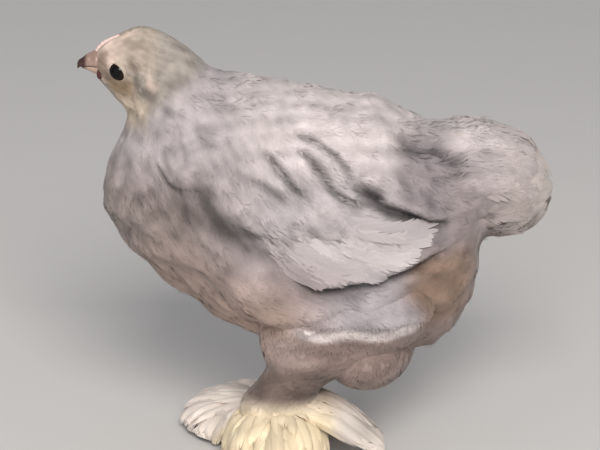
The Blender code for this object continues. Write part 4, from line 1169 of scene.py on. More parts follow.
@dataclass
class Quills:
    """Whole feathers: a thin cambered vane with a shaft and rows of barbs over it.

    Attributes:
        path: middle lines (feathers, samples, 3), root to tip.
        facing: outward directions of the same shape.
        width: half width of each feather.
        colour: linear colour of each feather.
        unwrap: place of each root on the unwrapped skin.
        barbs: barbs on each side of the shaft.
        blunt: how square the tip is.
    """

    path: Array
    facing: Array
    width: Array
    colour: Array
    unwrap: Array
    barbs: int = 22
    blunt: float = 0.62
    seed: int = 1

    def outline(self, step: Array) -> Array:
        """Share of the half width at a step: it widens from the root, then rounds off at the tip."""
        widen = 0.35 + 0.65 * np.clip(step / 0.30, 0, 1) ** 0.8
        narrow = np.sqrt(np.clip(1 - np.clip((step - self.blunt) / (1.001 - self.blunt), 0, 1) ** 2, 0, 1))
        return widen * narrow

    def at(self, values: Array, step: Array) -> Array:
        """Values along the feathers at steps (feathers, any), carried on straight past the tip."""
        samples = values.shape[1]
        place = step * (samples - 1)
        i = np.clip(np.floor(place).astype(int), 0, samples - 2)
        t = (place - i)[..., None]
        rows = np.arange(len(values))[:, None]
        return values[rows, i] * (1 - t) + values[rows, i + 1] * t

    def strands(self) -> list[Strands]:
        """The vanes, their barbs and their shafts."""
        rng = seeded(self.seed)
        n = len(self.path)
        step = np.linspace(0, 1, 9)
        grid = np.broadcast_to(step, (n, 9))
        path, facing = self.at(self.path, grid), self.at(self.facing, grid)
        half = self.width[:, None] * self.outline(step) * 0.90
        rise, colour = half * 0.12 + 0.08, self.colour * 0.93
        sheet = Strands(path, facing, half, rise, colour, self.unwrap, columns=5, bend=0.30, root_shade=0.80)
        k = self.barbs
        base = np.tile(np.linspace(0.05, 0.94, k), 2)
        side = np.repeat([-1.0, 1.0], k)
        start = base[None] + rng.uniform(-0.4, 0.4, (n, 2 * k)) / k
        tau = np.array([0.0, 0.4, 0.75, 1.0])
        run = 0.30 + 0.08 * rng.uniform(size=(n, 2 * k))
        s = (start[..., None] + run[..., None] * tau).reshape(n, -1)
        s = np.minimum(s, 1.0 + 0.05 * rng.uniform(size=(n, 2 * k)).repeat(4, axis=1))
        centre, face = self.at(self.path, s), self.at(self.facing, s)
        ahead = unit(self.at(self.path, s + 0.02) - self.at(self.path, s - 0.02))
        across = unit(np.cross(face, ahead))
        face = np.cross(ahead, across)
        wide = self.width[:, None] * self.outline(np.clip(start + run * 0.6, 0, 1))
        wide = wide * rng.uniform(0.92, 1.1, (n, 2 * k))
        reach = (side * wide)[..., None] * tau**0.9
        lift = self.width[:, None, None] * 0.12 * (1 - tau**2) + 0.12 + 0.08 * tau
        path = centre.reshape(n, 2 * k, 4, 3) + across.reshape(n, 2 * k, 4, 3) * reach[..., None]
        path = path + face.reshape(n, 2 * k, 4, 3) * lift[..., None]
        length = np.linalg.norm(np.diff(self.path, axis=1), axis=-1).sum(1)
        thick = (length / k * 0.46)[:, None, None] * np.array([0.7, 1.0, 0.8, 0.0])
        thick = np.broadcast_to(thick, (n, 2 * k, 4)).reshape(-1, 4)
        tone = self.colour[:, None] * rng.normal(1.0, 0.025, (n, 2 * k, 1))
        fringe = Strands(
            path.reshape(-1, 4, 3),
            face.reshape(-1, 4, 3),
            thick,
            thick * 0.30 + 0.03,
            np.clip(tone.reshape(-1, 3), 0, 1),
            np.repeat(self.unwrap, 2 * k, axis=0),
            bend=0.16,
            root_shade=0.94,
        )
        face = self.at(self.facing, grid[:, :8])
        path = self.at(self.path, grid[:, :8] * 0.97) + face * (self.width[:, None, None] * 0.12 + 0.05)
        thin = np.broadcast_to(np.linspace(0.24, 0.08, 8), (n, 8))
        shaft = Strands(path, face, thin, thin * 0.9, np.clip(self.colour * 1.05, 0, 1), self.unwrap)
        return [sheet, fringe, shaft]


@dataclass(frozen=True)
class Locks:
    """Soft bunches of strands side by side, each swelling from its root to a gathered tip.

    Attributes:
        start: (place, turn) of the roots (locks, 2).
        end: (place, turn) of the tips.
        lift: heights of the tips over the form.
        half: half widths.
        strands: strands across a lock.
        crown: height of a lock's middle as a share of its half width.
        shade: share of the colour at the root: painted shade where the lock starts among the others.
    """

    start: Array
    end: Array
    lift: Array
    half: Array
    strands: int = 13
    steps: int = 7
    crown: float = 0.5
    shade: float = 0.72
    seed: int = 1
    root: float = 0.25
    contrast: float = 1.0

    def on(self, form: Form) -> Strands:
        """The strands on a form.

        The middle line runs straight from root to tip in place and turn. At step s a strand of
        share c lies c times the half width times the swell aside of it, and the crown times the
        root of 1 - c squared above it.
        """
        rng = seeded(self.seed)
        n, k = len(self.half), self.strands
        c = np.clip(np.linspace(-1, 1, k) + rng.normal(0, 0.09, (n, k)), -1, 1)[..., None]
        s = np.linspace(0, 1, self.steps) * (rng.uniform(0.84, 1.0, (n, k, 1)) - 0.10 * c * c)
        u = self.start[:, :1, None] + (self.end - self.start)[:, :1, None] * s
        v = self.start[:, 1:, None] + (self.end - self.start)[:, 1:, None] * s**1.3
        path = form.point(u, v, self.lift[:, None, None] * (self.root + (1 - self.root) * s))
        _, _, facing = form.frame(u, v)
        across = unit(np.cross(facing, unit(np.gradient(path, axis=2))))
        swell = np.interp(s, (0, 0.3, 0.7, 1.0), (0.45, 1.0, 0.86, 0.35)) * self.half[:, None, None]
        path = path + across * (c * swell)[..., None]
        path = path + facing * (self.crown * swell * np.sqrt(1 - c * c))[..., None]
        path[..., 2] = np.maximum(path[..., 2], 0.7)
        facing = unit(facing + across * (0.75 * self.contrast * c)[..., None])
        taper = np.interp(np.linspace(0, 1, self.steps), (0, 0.6, 0.85, 1.0), (0.8, 1.0, 0.7, 0.0))
        half = swell * taper * 3.0 / k
        bright = rng.normal(1.0, 0.05 * self.contrast, (n, 1, 1))
        bright = bright * rng.normal(1.0, 0.03 * self.contrast, (n, k, 1))
        # Painted shade on the sides of each lock, over the form's tone and a random brightness.
        bright = form.tone(u, v) * bright * (1 - 0.16 * self.contrast * c * c)
        colour = MARKINGS.colour(path) * bright[..., None]
        return Strands(
            path.reshape(-1, self.steps, 3),
            facing.reshape(-1, self.steps, 3),
            half.reshape(-1, self.steps),
            half.reshape(-1, self.steps) * 0.35 + 0.03,
            np.clip(colour.reshape(-1, self.steps, 3), 0, 1),
            np.repeat(form.unwrap(self.start[:, 0], self.start[:, 1]), k, axis=0),
            bend=0.2,
            root_shade=self.shade,
        )


@dataclass(frozen=True)
class Tier:
    """A row of feathers on the trunk: its first and its last feather, and what lies between.

    Ends are (place along the trunk, turn in degrees). The bow swings the middle of a feather down.
    """

    count: int
    roots: tuple[tuple[float, float], tuple[float, float]]
    tips: tuple[tuple[float, float], tuple[float, float]]
    lifts: tuple[float, float]
    half: tuple[float, float]
    bow: float
    swing: float = 0.0
    tone: float = 1.0


def tier_quills(form: Form, tier: Tier, sign: float, seed: int, barbs: int = 22, tilt: float = 0.0) -> Quills:
    """The feathers of a tier, laid over a form.

    Args:
        form: the form that they lie on.
        tier: their ends, heights and widths.
        sign: -1 for the left side, 1 for the right side.
        seed: seed of the small differences between them.
        barbs: barbs on each side of a shaft.
        tilt: how far the lower edge of each is tipped up.

    Returns:
        The feathers.
    """
    rng = seeded(seed)
    n = tier.count
    share = np.linspace(0, 1, n) if n > 1 else np.array([0.5])
    pairs = np.array([tier.roots, tier.tips], float)
    roots, tips = pairs[:, :1] + (pairs[:, 1:] - pairs[:, :1]) * share[:, None]
    tips = tips + rng.normal(0, 1, (n, 2)) * (0.07, 0.9)
    tips[:, 0] += tier.swing * np.sin(math.pi * share)
    s = np.linspace(0, 1, 17)[None]
    u = roots[:, :1] + (tips[:, :1] - roots[:, :1]) * s
    degrees = roots[:, 1:] + (tips[:, 1:] - roots[:, 1:]) * s + tier.bow * np.sin(math.pi * s**0.8)
    v = np.radians(degrees) * -sign
    lift = tier.lifts[0] + (tier.lifts[1] - tier.lifts[0]) * s**0.6 + rng.normal(0, 0.25, (n, 1)) * s
    u = np.clip(u, form.span[0], form.span[1])
    _, around, facing = form.frame(u, v)
    facing = unit(facing + unit(around) * -sign * -tilt)
    half = (tier.half[0] + (tier.half[1] - tier.half[0]) * share) * rng.uniform(0.93, 1.07, n)
    colour = MARKINGS.colour(form.point(u[:, 8], v[:, 8])) * rng.normal(tier.tone, 0.025, (n, 1))
    path, unwrap = form.point(u, v, lift), form.unwrap(u[:, 0], v[:, 0])
    return Quills(path, facing, half, np.clip(colour, 0, 1), unwrap, barbs, seed=seed + 50)


# Finishes


def new_material(name: str) -> tuple[Material, Tree, Node]:
    """A material with its node tree and its Principled shader."""
    made = bpy.data.materials.new(name)
    made.use_nodes = True
    tree = made.node_tree
    return made, tree, tree.nodes["Principled BSDF"]


def set_values(node: Node, **values: float) -> None:
    """Sets constants on a node's inputs; an underscore in a keyword stands for a space."""
    for label, value in values.items():
        node.inputs[label.replace("_", " ")].default_value = value


def marking_colour(tree: Tree) -> Socket:
    """The colour of the markings in the mesh."""
    attribute = tree.nodes.new("ShaderNodeAttribute")
    attribute.attribute_name = "Marking"
    return attribute.outputs["Color"]


def mottle_group() -> Tree:
    """Shader group that varies a colour by soft blotches and by a fine grain on Object coordinates."""
    name = "soft mottle"
    if name in bpy.data.node_groups:
        return bpy.data.node_groups[name]
    tree = bpy.data.node_groups.new(name, "ShaderNodeTree")
    face = tree.interface
    face.new_socket("Color", in_out="INPUT", socket_type="NodeSocketColor")
    for label, value in (("Blotch Scale", 60.0), ("Blotch", 0.1), ("Grain Scale", 900.0), ("Grain", 0.08)):
        face.new_socket(label, in_out="INPUT", socket_type="NodeSocketFloat").default_value = value
    face.new_socket("Color", in_out="OUTPUT", socket_type="NodeSocketColor")
    face.new_socket("Height", in_out="OUTPUT", socket_type="NodeSocketFloat")
    nodes, links = tree.nodes, tree.links
    source, out = nodes.new("NodeGroupInput"), nodes.new("NodeGroupOutput")
    place = nodes.new("ShaderNodeTexCoord")

    def sum_of(operation: str, first: Socket, second: Socket | float) -> Socket:
        """Output of a Math node over a socket and a socket or a constant."""
        node = nodes.new("ShaderNodeMath")
        node.operation = operation
        links.new(first, node.inputs[0])
        if isinstance(second, float):
            node.inputs[1].default_value = second
        else:
            links.new(second, node.inputs[1])
        return node.outputs[0]

    parts = []
    for scale, amount in (("Blotch Scale", "Blotch"), ("Grain Scale", "Grain")):
        noise = nodes.new("ShaderNodeTexNoise")
        set_values(noise, Detail=3.0)
        links.new(place.outputs["Object"], noise.inputs["Vector"])
        links.new(source.outputs[scale], noise.inputs["Scale"])
        centred = sum_of("SUBTRACT", noise.outputs["Fac"], 0.5)
        parts.append(sum_of("MULTIPLY", centred, source.outputs[amount]))
    links.new(noise.outputs["Fac"], out.inputs["Height"])
    scaled = nodes.new("ShaderNodeVectorMath")
    scaled.operation = "SCALE"
    links.new(source.outputs["Color"], scaled.inputs[0])
    links.new(sum_of("ADD", sum_of("ADD", *parts), 1.0), scaled.inputs["Scale"])
    links.new(scaled.outputs[0], out.inputs["Color"])
    return tree


def place_mottle(tree: Tree, blotch: tuple[float, float], grain: tuple[float, float]) -> Node:
    """Puts the mottle group into a material with its own sizes and amounts."""
    node = tree.nodes.new("ShaderNodeGroup")
    node.node_tree = mottle_group()
    set_values(node, Blotch_Scale=blotch[0], Blotch=blotch[1], Grain_Scale=grain[0], Grain=grain[1])
    return node


def add_bump(tree: Tree, height: Socket, distance: float, strength: float) -> None:
    """Feeds a height through a Bump node into the normal of the Principled shader."""
    bump = tree.nodes.new("ShaderNodeBump")
    set_values(bump, Distance=distance, Strength=strength)
    tree.links.new(height, bump.inputs["Height"])
    tree.links.new(bump.outputs["Normal"], tree.nodes["Principled BSDF"].inputs["Normal"])


@dataclass(frozen=True)
class FeatherFinish:
    """Matt feathers with a soft sheen, coloured by the markings in the mesh."""

    name: str
    roughness: float = 0.9
    sheen: float = 0.18
    blotch: float = 0.10
    grain: float = 0.10

    def build(self) -> Material:
        """Makes the material."""
        made, tree, shader = new_material(self.name)
        mottle = place_mottle(tree, (70.0, self.blotch), (1400.0, self.grain))
        tree.links.new(marking_colour(tree), mottle.inputs["Color"])
        tree.links.new(mottle.outputs["Color"], shader.inputs["Base Color"])
        set_values(shader, Roughness=self.roughness, Specular_IOR_Level=0.12)
        set_values(shader, Sheen_Weight=self.sheen, Sheen_Roughness=0.55)
        return made


@dataclass(frozen=True)
class SkinFinish:
    """Bare or downy skin in one colour or in the markings, with pores and creases."""

    name: str
    colour: Triple | None = None
    roughness: float = 0.7
    pore_scale: float = 1500.0
    pore: float = 0.35

    def build(self) -> Material:
        """Makes the material."""
        made, tree, shader = new_material(self.name)
        mottle = place_mottle(tree, (260.0, 0.35), (self.pore_scale, 0.25))
        if self.colour is None:
            tree.links.new(marking_colour(tree), mottle.inputs["Color"])
        else:
            mottle.inputs["Color"].default_value = (*linear(*self.colour), 1.0)
        tree.links.new(mottle.outputs["Color"], shader.inputs["Base Color"])
        shader.inputs["Roughness"].default_value = self.roughness
        add_bump(tree, mottle.outputs["Height"], 0.0002, self.pore)
        return made


@dataclass(frozen=True)
class HornFinish:
    """Horn that changes colour from a base to a tip, with fine growth lines."""

    name: str
    base: Triple
    tip: Triple
    start: float
    end: float
    axis: str = "X"
    roughness: float = 0.38

    def build(self) -> Material:
        """Makes the material: a ramp along one axis of Object coordinates under a mottle."""
        made, tree, shader = new_material(self.name)
        place = tree.nodes.new("ShaderNodeTexCoord")
        parts = tree.nodes.new("ShaderNodeSeparateXYZ")
        tree.links.new(place.outputs["Object"], parts.inputs[0])
        span = tree.nodes.new("ShaderNodeMapRange")
        span.interpolation_type = "SMOOTHSTEP"
        set_values(span, From_Min=self.start * MM, From_Max=self.end * MM)
        tree.links.new(parts.outputs[self.axis], span.inputs["Value"])
        mix = tree.nodes.new("ShaderNodeMix")
        mix.data_type = "RGBA"
        set_values(mix, A=(*linear(*self.base), 1.0), B=(*linear(*self.tip), 1.0))
        tree.links.new(span.outputs["Result"], mix.inputs["Factor"])
        mottle = place_mottle(tree, (300.0, 0.35), (2200.0, 0.25))
        tree.links.new(mix.outputs["Result"], mottle.inputs["Color"])
        tree.links.new(mottle.outputs["Color"], shader.inputs["Base Color"])
        shader.inputs["Roughness"].default_value = self.roughness
        add_bump(tree, mottle.outputs["Height"], 0.0001, 0.3)
        return made


@dataclass(frozen=True)
class EyeFinish:
    """A wet dark eye: near-black with a brown ring round the pupil, under a clear coat."""

    name: str = "wet_eye"

    def build(self) -> Material:
        """Makes the material: the colour follows the attribute that holds the iris ring."""
        made, tree, shader = new_material(self.name)
        tree.links.new(marking_colour(tree), shader.inputs["Base Color"])
        set_values(shader, Roughness=0.14, Specular_IOR_Level=0.16, Coat_Weight=0.08, Coat_Roughness=0.05)
        return made


class Finish(Enum):
    """The finishes of the bird, each made once."""

    PLUMAGE = FeatherFinish("lavender_plumage")
    HEAD = FeatherFinish("head_plumage", sheen=0.14, blotch=0.16)
    FOOT = FeatherFinish("foot_plumage", sheen=0.12, blotch=0.14)
    SKIN = SkinFinish("downy_skin")
    LID = SkinFinish("lid_skin")
    COMB = SkinFinish("comb_skin", (148, 116, 100), 0.85, 1100.0, 0.6)
    # The wattle's red, darkened as painted shadow under the bill.
    SHADED_WATTLE = SkinFinish("shaded_wattle_skin", (70, 32, 26), 0.7, 1100.0, 0.6)
    BILL = HornFinish("bill_horn", (150, 124, 112), (62, 38, 32), -103.0, -105.2)
    LOWER_BILL = HornFinish("lower_bill_horn", (178, 152, 136), (96, 74, 64), -103.0, -105.6)
    CLAW = HornFinish("claw_horn", (214, 196, 172), (150, 128, 108), 4.0, 0.5, "Z")
    EYE = EyeFinish()

    def material(self) -> Material:
        """The finish's material."""
        return bpy.data.materials.get(self.value.name) or self.value.build()


# Sub-assemblies


@dataclass
class Skin:
    """One downy skin under the coat: trunk, fluff and legs grown together, without a seam."""

    trunk: Trunk
    legs: dict[str, Leg]
    ball: Ball
    voxel: float = 1.4

    UNDER = 0.25
    LIGHTER = 1.15

    def depth(self, count: int, around: int) -> Array:
        """How far the skin lies under the coat: little on the face, more at the tail and in hollows."""
        u = np.linspace(*self.trunk.span, count)[:, None]
        v = whole_turn(around)
        deep = np.interp(u, (0, 1.5, 4, 6, 12, 15, 17), (0.12, 0.2, 0.3, 0.25, 0.2, 0.25, 0.6))
        relief = self.trunk.relief
        return -deep - np.minimum(0.45 * relief.look_up(relief.hollow, *np.broadcast_arrays(u, v)), 0.8)

    def build(self) -> Object:
        """Joins the shells, melts them together on a fine grid and paints the markings."""
        shells = [self.trunk.shell(220, 160, self.depth(220, 160)), self.ball.shell(40, 64, -self.UNDER)]
        for leg in self.legs.values():
            shells.append(leg.shell(60, 48, -self.UNDER))
        for side, sign in SIDES:
            for slot, (name, angle, length, radius) in enumerate(TOES):
                toe = Toe(side, sign, name, angle, length, radius, slot)
                shells.append(toe.shell(26, 20, -self.UNDER))
        points = np.concatenate([points for points, _ in shells])
        skin = mesh_object("skin", points, joined_faces(shells), Finish.SKIN)
        melt = skin.modifiers.new("melt", "REMESH")
        melt.mode = "VOXEL"
        melt.voxel_size = self.voxel * MM
        melt.use_smooth_shade = True
        relax = skin.modifiers.new("relax", "SMOOTH")
        relax.iterations = 2
        skin = baked(skin)
        co = np.empty(len(skin.data.vertices) * 3, np.float32)
        skin.data.vertices.foreach_get("co", co)
        co = co.reshape(-1, 3)
        co[:, 2] = np.maximum(co[:, 2], 0.0)
        skin.data.vertices.foreach_set("co", co.ravel())
        paint(skin.data, self.tint(co / MM))
        legs = [f"{part}_{side}" for side, _ in SIDES for part in ("thigh", "shank")]
        register(skin, "plumage", "head", "neck", "torso", *legs)
        return skin

    def tint(self, points: Array) -> Array:
        """The markings in the tone of the coat over them, lighter, as the coat shades them."""
        return MARKINGS.colour(points) * self.LIGHTER * self.trunk.relief.near(points)[:, None]


def baked(piece: Object) -> Object:
    """The piece with its modifiers applied."""
    graph = bpy.context.evaluated_depsgraph_get()
    mesh = bpy.data.meshes.new_from_object(piece.evaluated_get(graph))
    piece.modifiers.clear()
    old = piece.data
    mesh.name = old.name
    piece.data = mesh
    if not mesh.materials:
        mesh.materials.append(old.materials[0])
    bpy.data.meshes.remove(old)
    return piece


@dataclass
class Eye:
    """An eye with its lids. The opening is a tall oval drawn out to a corner in front."""

    side: str
    sign: float
    trunk: Trunk
    place: float = 2.13
    turn: float = 89.0
    radius: float = 5.8
    depth: float = 4.5
    long_half: float = 4.3
    short_half: float = 3.15
    lean: float = 47.0
    corner: float = 1.2
    corner_turn: float = 26.0
    corner_spread: float = 0.34
    rim: float = 1.7

    def axes(self) -> tuple[Array, Array, Array, Array]:
        """Middle of the eyeball, and its outward, forward and upward directions."""
        u, v = np.array(self.place), np.array(math.radians(self.turn) * -self.sign)
        surface = self.trunk.point(u, v)
        _, _, outward = self.trunk.frame(u, v)
        outward = unit(outward + np.array([-0.10, 0.0, 0.02]))
        forward = unit(np.array([-1.0, 0, 0]) - outward * -outward[0])
        upward = np.cross(outward, forward) * self.sign
        upward = upward * np.sign(upward[2])
        return surface - outward * self.depth, outward, forward, upward

    def opening(self, turn: Array) -> Array:
        """Radius of the opening at a turn from the front upwards: an oval leaning back, with a corner.

        The oval's long axis runs from the upper front to the lower back. The corner is a narrow
        bell added round it.
        """
        lean, a, b = turn - math.radians(self.lean), self.long_half, self.short_half
        oval = a * b / np.sqrt((b * np.cos(lean)) ** 2 + (a * np.sin(lean)) ** 2)
        off = folded(turn - math.radians(self.corner_turn))
        return oval + self.corner * np.exp(-((off / self.corner_spread) ** 2))

    def build(self) -> None:
        """Makes the eyeball and the lids."""
        centre, outward, forward, upward = self.axes()
        u = np.linspace(0, math.pi, 41)
        v = whole_turn(56)
        polar, turn = np.meshgrid(u[1:-1], v, indexing="ij")
        bulge = self.radius * (1 + 0.05 * ease(polar, 0.75, 0.35))
        radial = forward * np.cos(turn)[..., None] + upward * np.sin(turn)[..., None]
        way = radial * np.sin(polar)[..., None] + outward * np.cos(polar)[..., None]
        rings = centre + bulge[..., None] * way
        points, triangles = ring_mesh(rings)
        ball = mesh_object(f"eyeball_{self.side}", points, triangles, Finish.EYE)
        angle = np.arccos(np.clip(unit(points - centre) @ outward, -1, 1))
        ring = ease(angle, 0.42, 0.50) * ease(angle, 0.95, 0.80)
        colour = linear(5, 4, 4) + (linear(26, 15, 11) - linear(5, 4, 4)) * ring[:, None]
        paint(ball.data, colour)
        register(ball, "eye", f"eye_{self.side}")
        self.lids()

    def lids(self) -> None:
        """Both lids as one soft rim: a rounded edge at the opening, folds behind it, sunk at the end."""
        turn = whole_turn(96)
        share = np.array([0.0, 0.0, 0.12, 0.28, 0.45, 0.62, 0.8, 1.0, 1.0])
        height = np.array([-0.25, 0.12, 0.34, 0.34, 0.22, 0.26, 0.05, -0.8, -1.4])
        reach = self.opening(turn)[None] + share[:, None] * self.rim
        folds = 1 + 0.16 * np.sin(turn * 26)[None] * np.sin(math.pi * share)[:, None]
        ball = self.radius + 0.10
        centre, outward, forward, upward = self.axes()
        level = np.sqrt(np.maximum(ball**2 - np.minimum(reach, ball * 0.93) ** 2, 0.0))
        radial = forward * np.cos(turn)[:, None] + upward * np.sin(turn)[:, None]
        level = level + height[:, None] * folds
        top = centre + radial[None] * reach[..., None] + outward * level[..., None]
        under = top - outward * 0.45
        loop = np.concatenate([top, under[::-1]])
        points = loop.reshape(-1, 3)
        triangles = facing_out(points - centre, grid_faces(*loop.shape[:2], closed=True))
        lids = mesh_object(f"lids_{self.side}", points, triangles, Finish.LID)
        pale = (0.5 + 0.5 * np.cos(turn - math.radians(128)))[None] * np.ones((len(loop), 1))
        tint = linear(132, 112, 94) + (linear(176, 164, 148) - linear(132, 112, 94)) * pale.reshape(-1, 1)
        paint(lids.data, tint)
        register(lids, "head_feathers")


@dataclass
class Bill:
    """Both halves of the bill: half ovals along it, flat at the mouth, the upper one hooked."""

    UPPER = table(
        (-98.2, 190.2, 196.4, 4.8),
        (-101.5, 190.2, 195.6, 4.1),
        (-103.6, 190.1, 194.6, 3.4),
        (-105.6, 189.8, 193.1, 2.5),
        (-107.3, 189.1, 192.0, 2.1),
        (-108.1, 188.3, 190.6, 1.2),
    )
    LOWER = table(
        (-98.2, 189.8, 185.2, 4.4),
        (-101.5, 189.8, 186.5, 3.7),
        (-103.4, 189.7, 187.4, 2.9),
        (-105.0, 189.4, 188.1, 1.9),
        (-106.2, 189.0, 188.5, 0.8),
    )

    def half(self, name: str, rows: Array, node: str, finish: Finish) -> Object:
        """One half: across it the height is the sine of the turn to a power, with a soft keel."""
        at = np.linspace(0, len(rows) - 1, 44)
        x, mouth, edge, wide = np.moveaxis(curve_rows(rows, at), -1, 0)
        turn = np.linspace(0, math.pi, 29)
        over = np.sin(turn) ** 0.9
        keel = 0.22 * np.exp(-(((turn - math.pi / 2) / 0.16) ** 2))
        z = mouth[:, None] + (edge - mouth)[:, None] * (over + keel * 0.4)
        y = wide[:, None] * np.cos(turn) * (1 + 0.05 * np.sin(turn * 2) ** 2)
        if node == "beak_upper":
            dent = np.exp(-(((x[:, None] + 101.9) / 1.1) ** 2)) * np.exp(-(((z - 193.3) / 0.55) ** 2))
            y = y * (1 - 0.24 * dent)
            cere = 0.35 * np.exp(-(((x + 99.6) / 0.9) ** 2))[:, None]
            y = y * (1 + cere * 0.3)
            z = z + cere * over
        rings = np.stack([np.broadcast_to(x[:, None], y.shape), y, z], -1)
        floor = np.broadcast_arrays(x[:, None], wide[:, None] * np.linspace(-0.94, 0.94, 9), mouth[:, None])
        floor = np.stack(floor, -1)
        points, triangles = ring_mesh(np.concatenate([rings, floor], axis=1))
        piece = mesh_object(name, points, triangles, finish)
        register(piece, "beak_horn", node)
        return piece

    def build(self) -> None:
        """Makes both halves."""
        self.half("bill_upper", self.UPPER, "beak_upper", Finish.BILL)
        self.half("bill_lower", self.LOWER, "beak_lower", Finish.LOWER_BILL)


@dataclass
class Comb:
    """The low comb of a young bird and its wattles: fleshy ridges with small grains."""

    trunk: Trunk
    start: float = 0.05
    end: float = 2.2
    height: float = 0.55
    half: float = 1.5

    def build(self) -> None:
        """Makes the comb: across it a bell, along it low points, all over it grains."""
        s = np.linspace(0, 1, 90)
        t = np.linspace(-1, 1, 23)
        u = self.start + (self.end - self.start) * s
        centre = self.trunk.point(u, np.zeros_like(u), -0.9)
        _, _, normal = self.trunk.frame(u, np.zeros_like(u))
        rise = self.height * np.sin(math.pi * s**0.8) ** 0.5 + 0.9
        rise = rise + 0.22 * np.sin(s * 19.0) ** 2 * np.sin(math.pi * s)
        body = rise[:, None] * (1 - np.abs(t) ** 2.4)
        wide = self.half * (0.55 + 0.45 * np.sin(math.pi * s**0.8))
        points = centre[:, None] + normal[:, None] * body[..., None]
        across = np.array([0.0, 1.0, 0.0])
        points = points + across * (wide[:, None] * t)[..., None]
        grain = 0.14 * ripple(points.reshape(-1, 3), 1.5, 4).reshape(points.shape[:2]) * (1 - t**4)
        points = points + normal[:, None] * grain[..., None]
        base = centre[:, None] + across * (wide[:, None] * np.linspace(0.9, -0.9, 7))[..., None]
        base = base - normal[:, None] * 0.4
        points, triangles = ring_mesh(np.concatenate([points, base], axis=1))
        register(mesh_object("comb_ridge", points, triangles, Finish.COMB), "comb_skin", "comb")
        for side, sign in SIDES:
            self.wattle(side, sign)

    def wattle(self, side: str, sign: float) -> None:
        """A small wattle: a flattened drop with two shallow folds down it."""
        polar, turn = np.meshgrid(np.linspace(0.05, math.pi - 0.05, 25), whole_turn(32), indexing="ij")
        fold = 1 - 0.10 * np.cos(turn * 3) ** 2 * np.sin(polar)
        x = 1.4 * np.sin(polar) * np.cos(turn) * fold
        y = 0.8 * np.sin(polar) * np.sin(turn) * fold
        z = 2.3 * np.cos(polar)
        points = np.stack([-97.7 + x, sign * (5.2 + y) + sign * 0.12 * (x + 2), 186.8 + z], -1)
        points, triangles = ring_mesh(points)
        # The wattle's red, darkened as painted shadow under the bill.
        made = mesh_object(f"wattle_fold_{side}", points, triangles, Finish.SHADED_WATTLE)
        register(made, "comb_skin", f"wattle_{side}")


BODY_GROWTH = Growth(
    (
        (0.2, 1.2, 0.19, 0.12, 0.20),
        (1.5, 1.9, 0.23, 0.13, 0.25),
        (2.5, 2.6, 0.27, 0.14, 0.30),
        (3.5, 3.6, 0.33, 0.15, 0.30),
        (4.5, 5.0, 0.42, 0.16, 0.30),
        (5.5, 6.2, 0.54, 0.18, 0.35),
        (6.5, 7.4, 0.64, 0.20, 0.35),
        (8.0, 8.2, 0.68, 0.21, 0.40),
        (10.0, 8.6, 0.70, 0.22, 0.40),
        (12.0, 9.2, 0.68, 0.26, 0.40),
        (13.5, 10.0, 0.64, 0.40, 0.50),
        (16.9, 8.0, 0.50, 0.7, 0.80),
    )
)


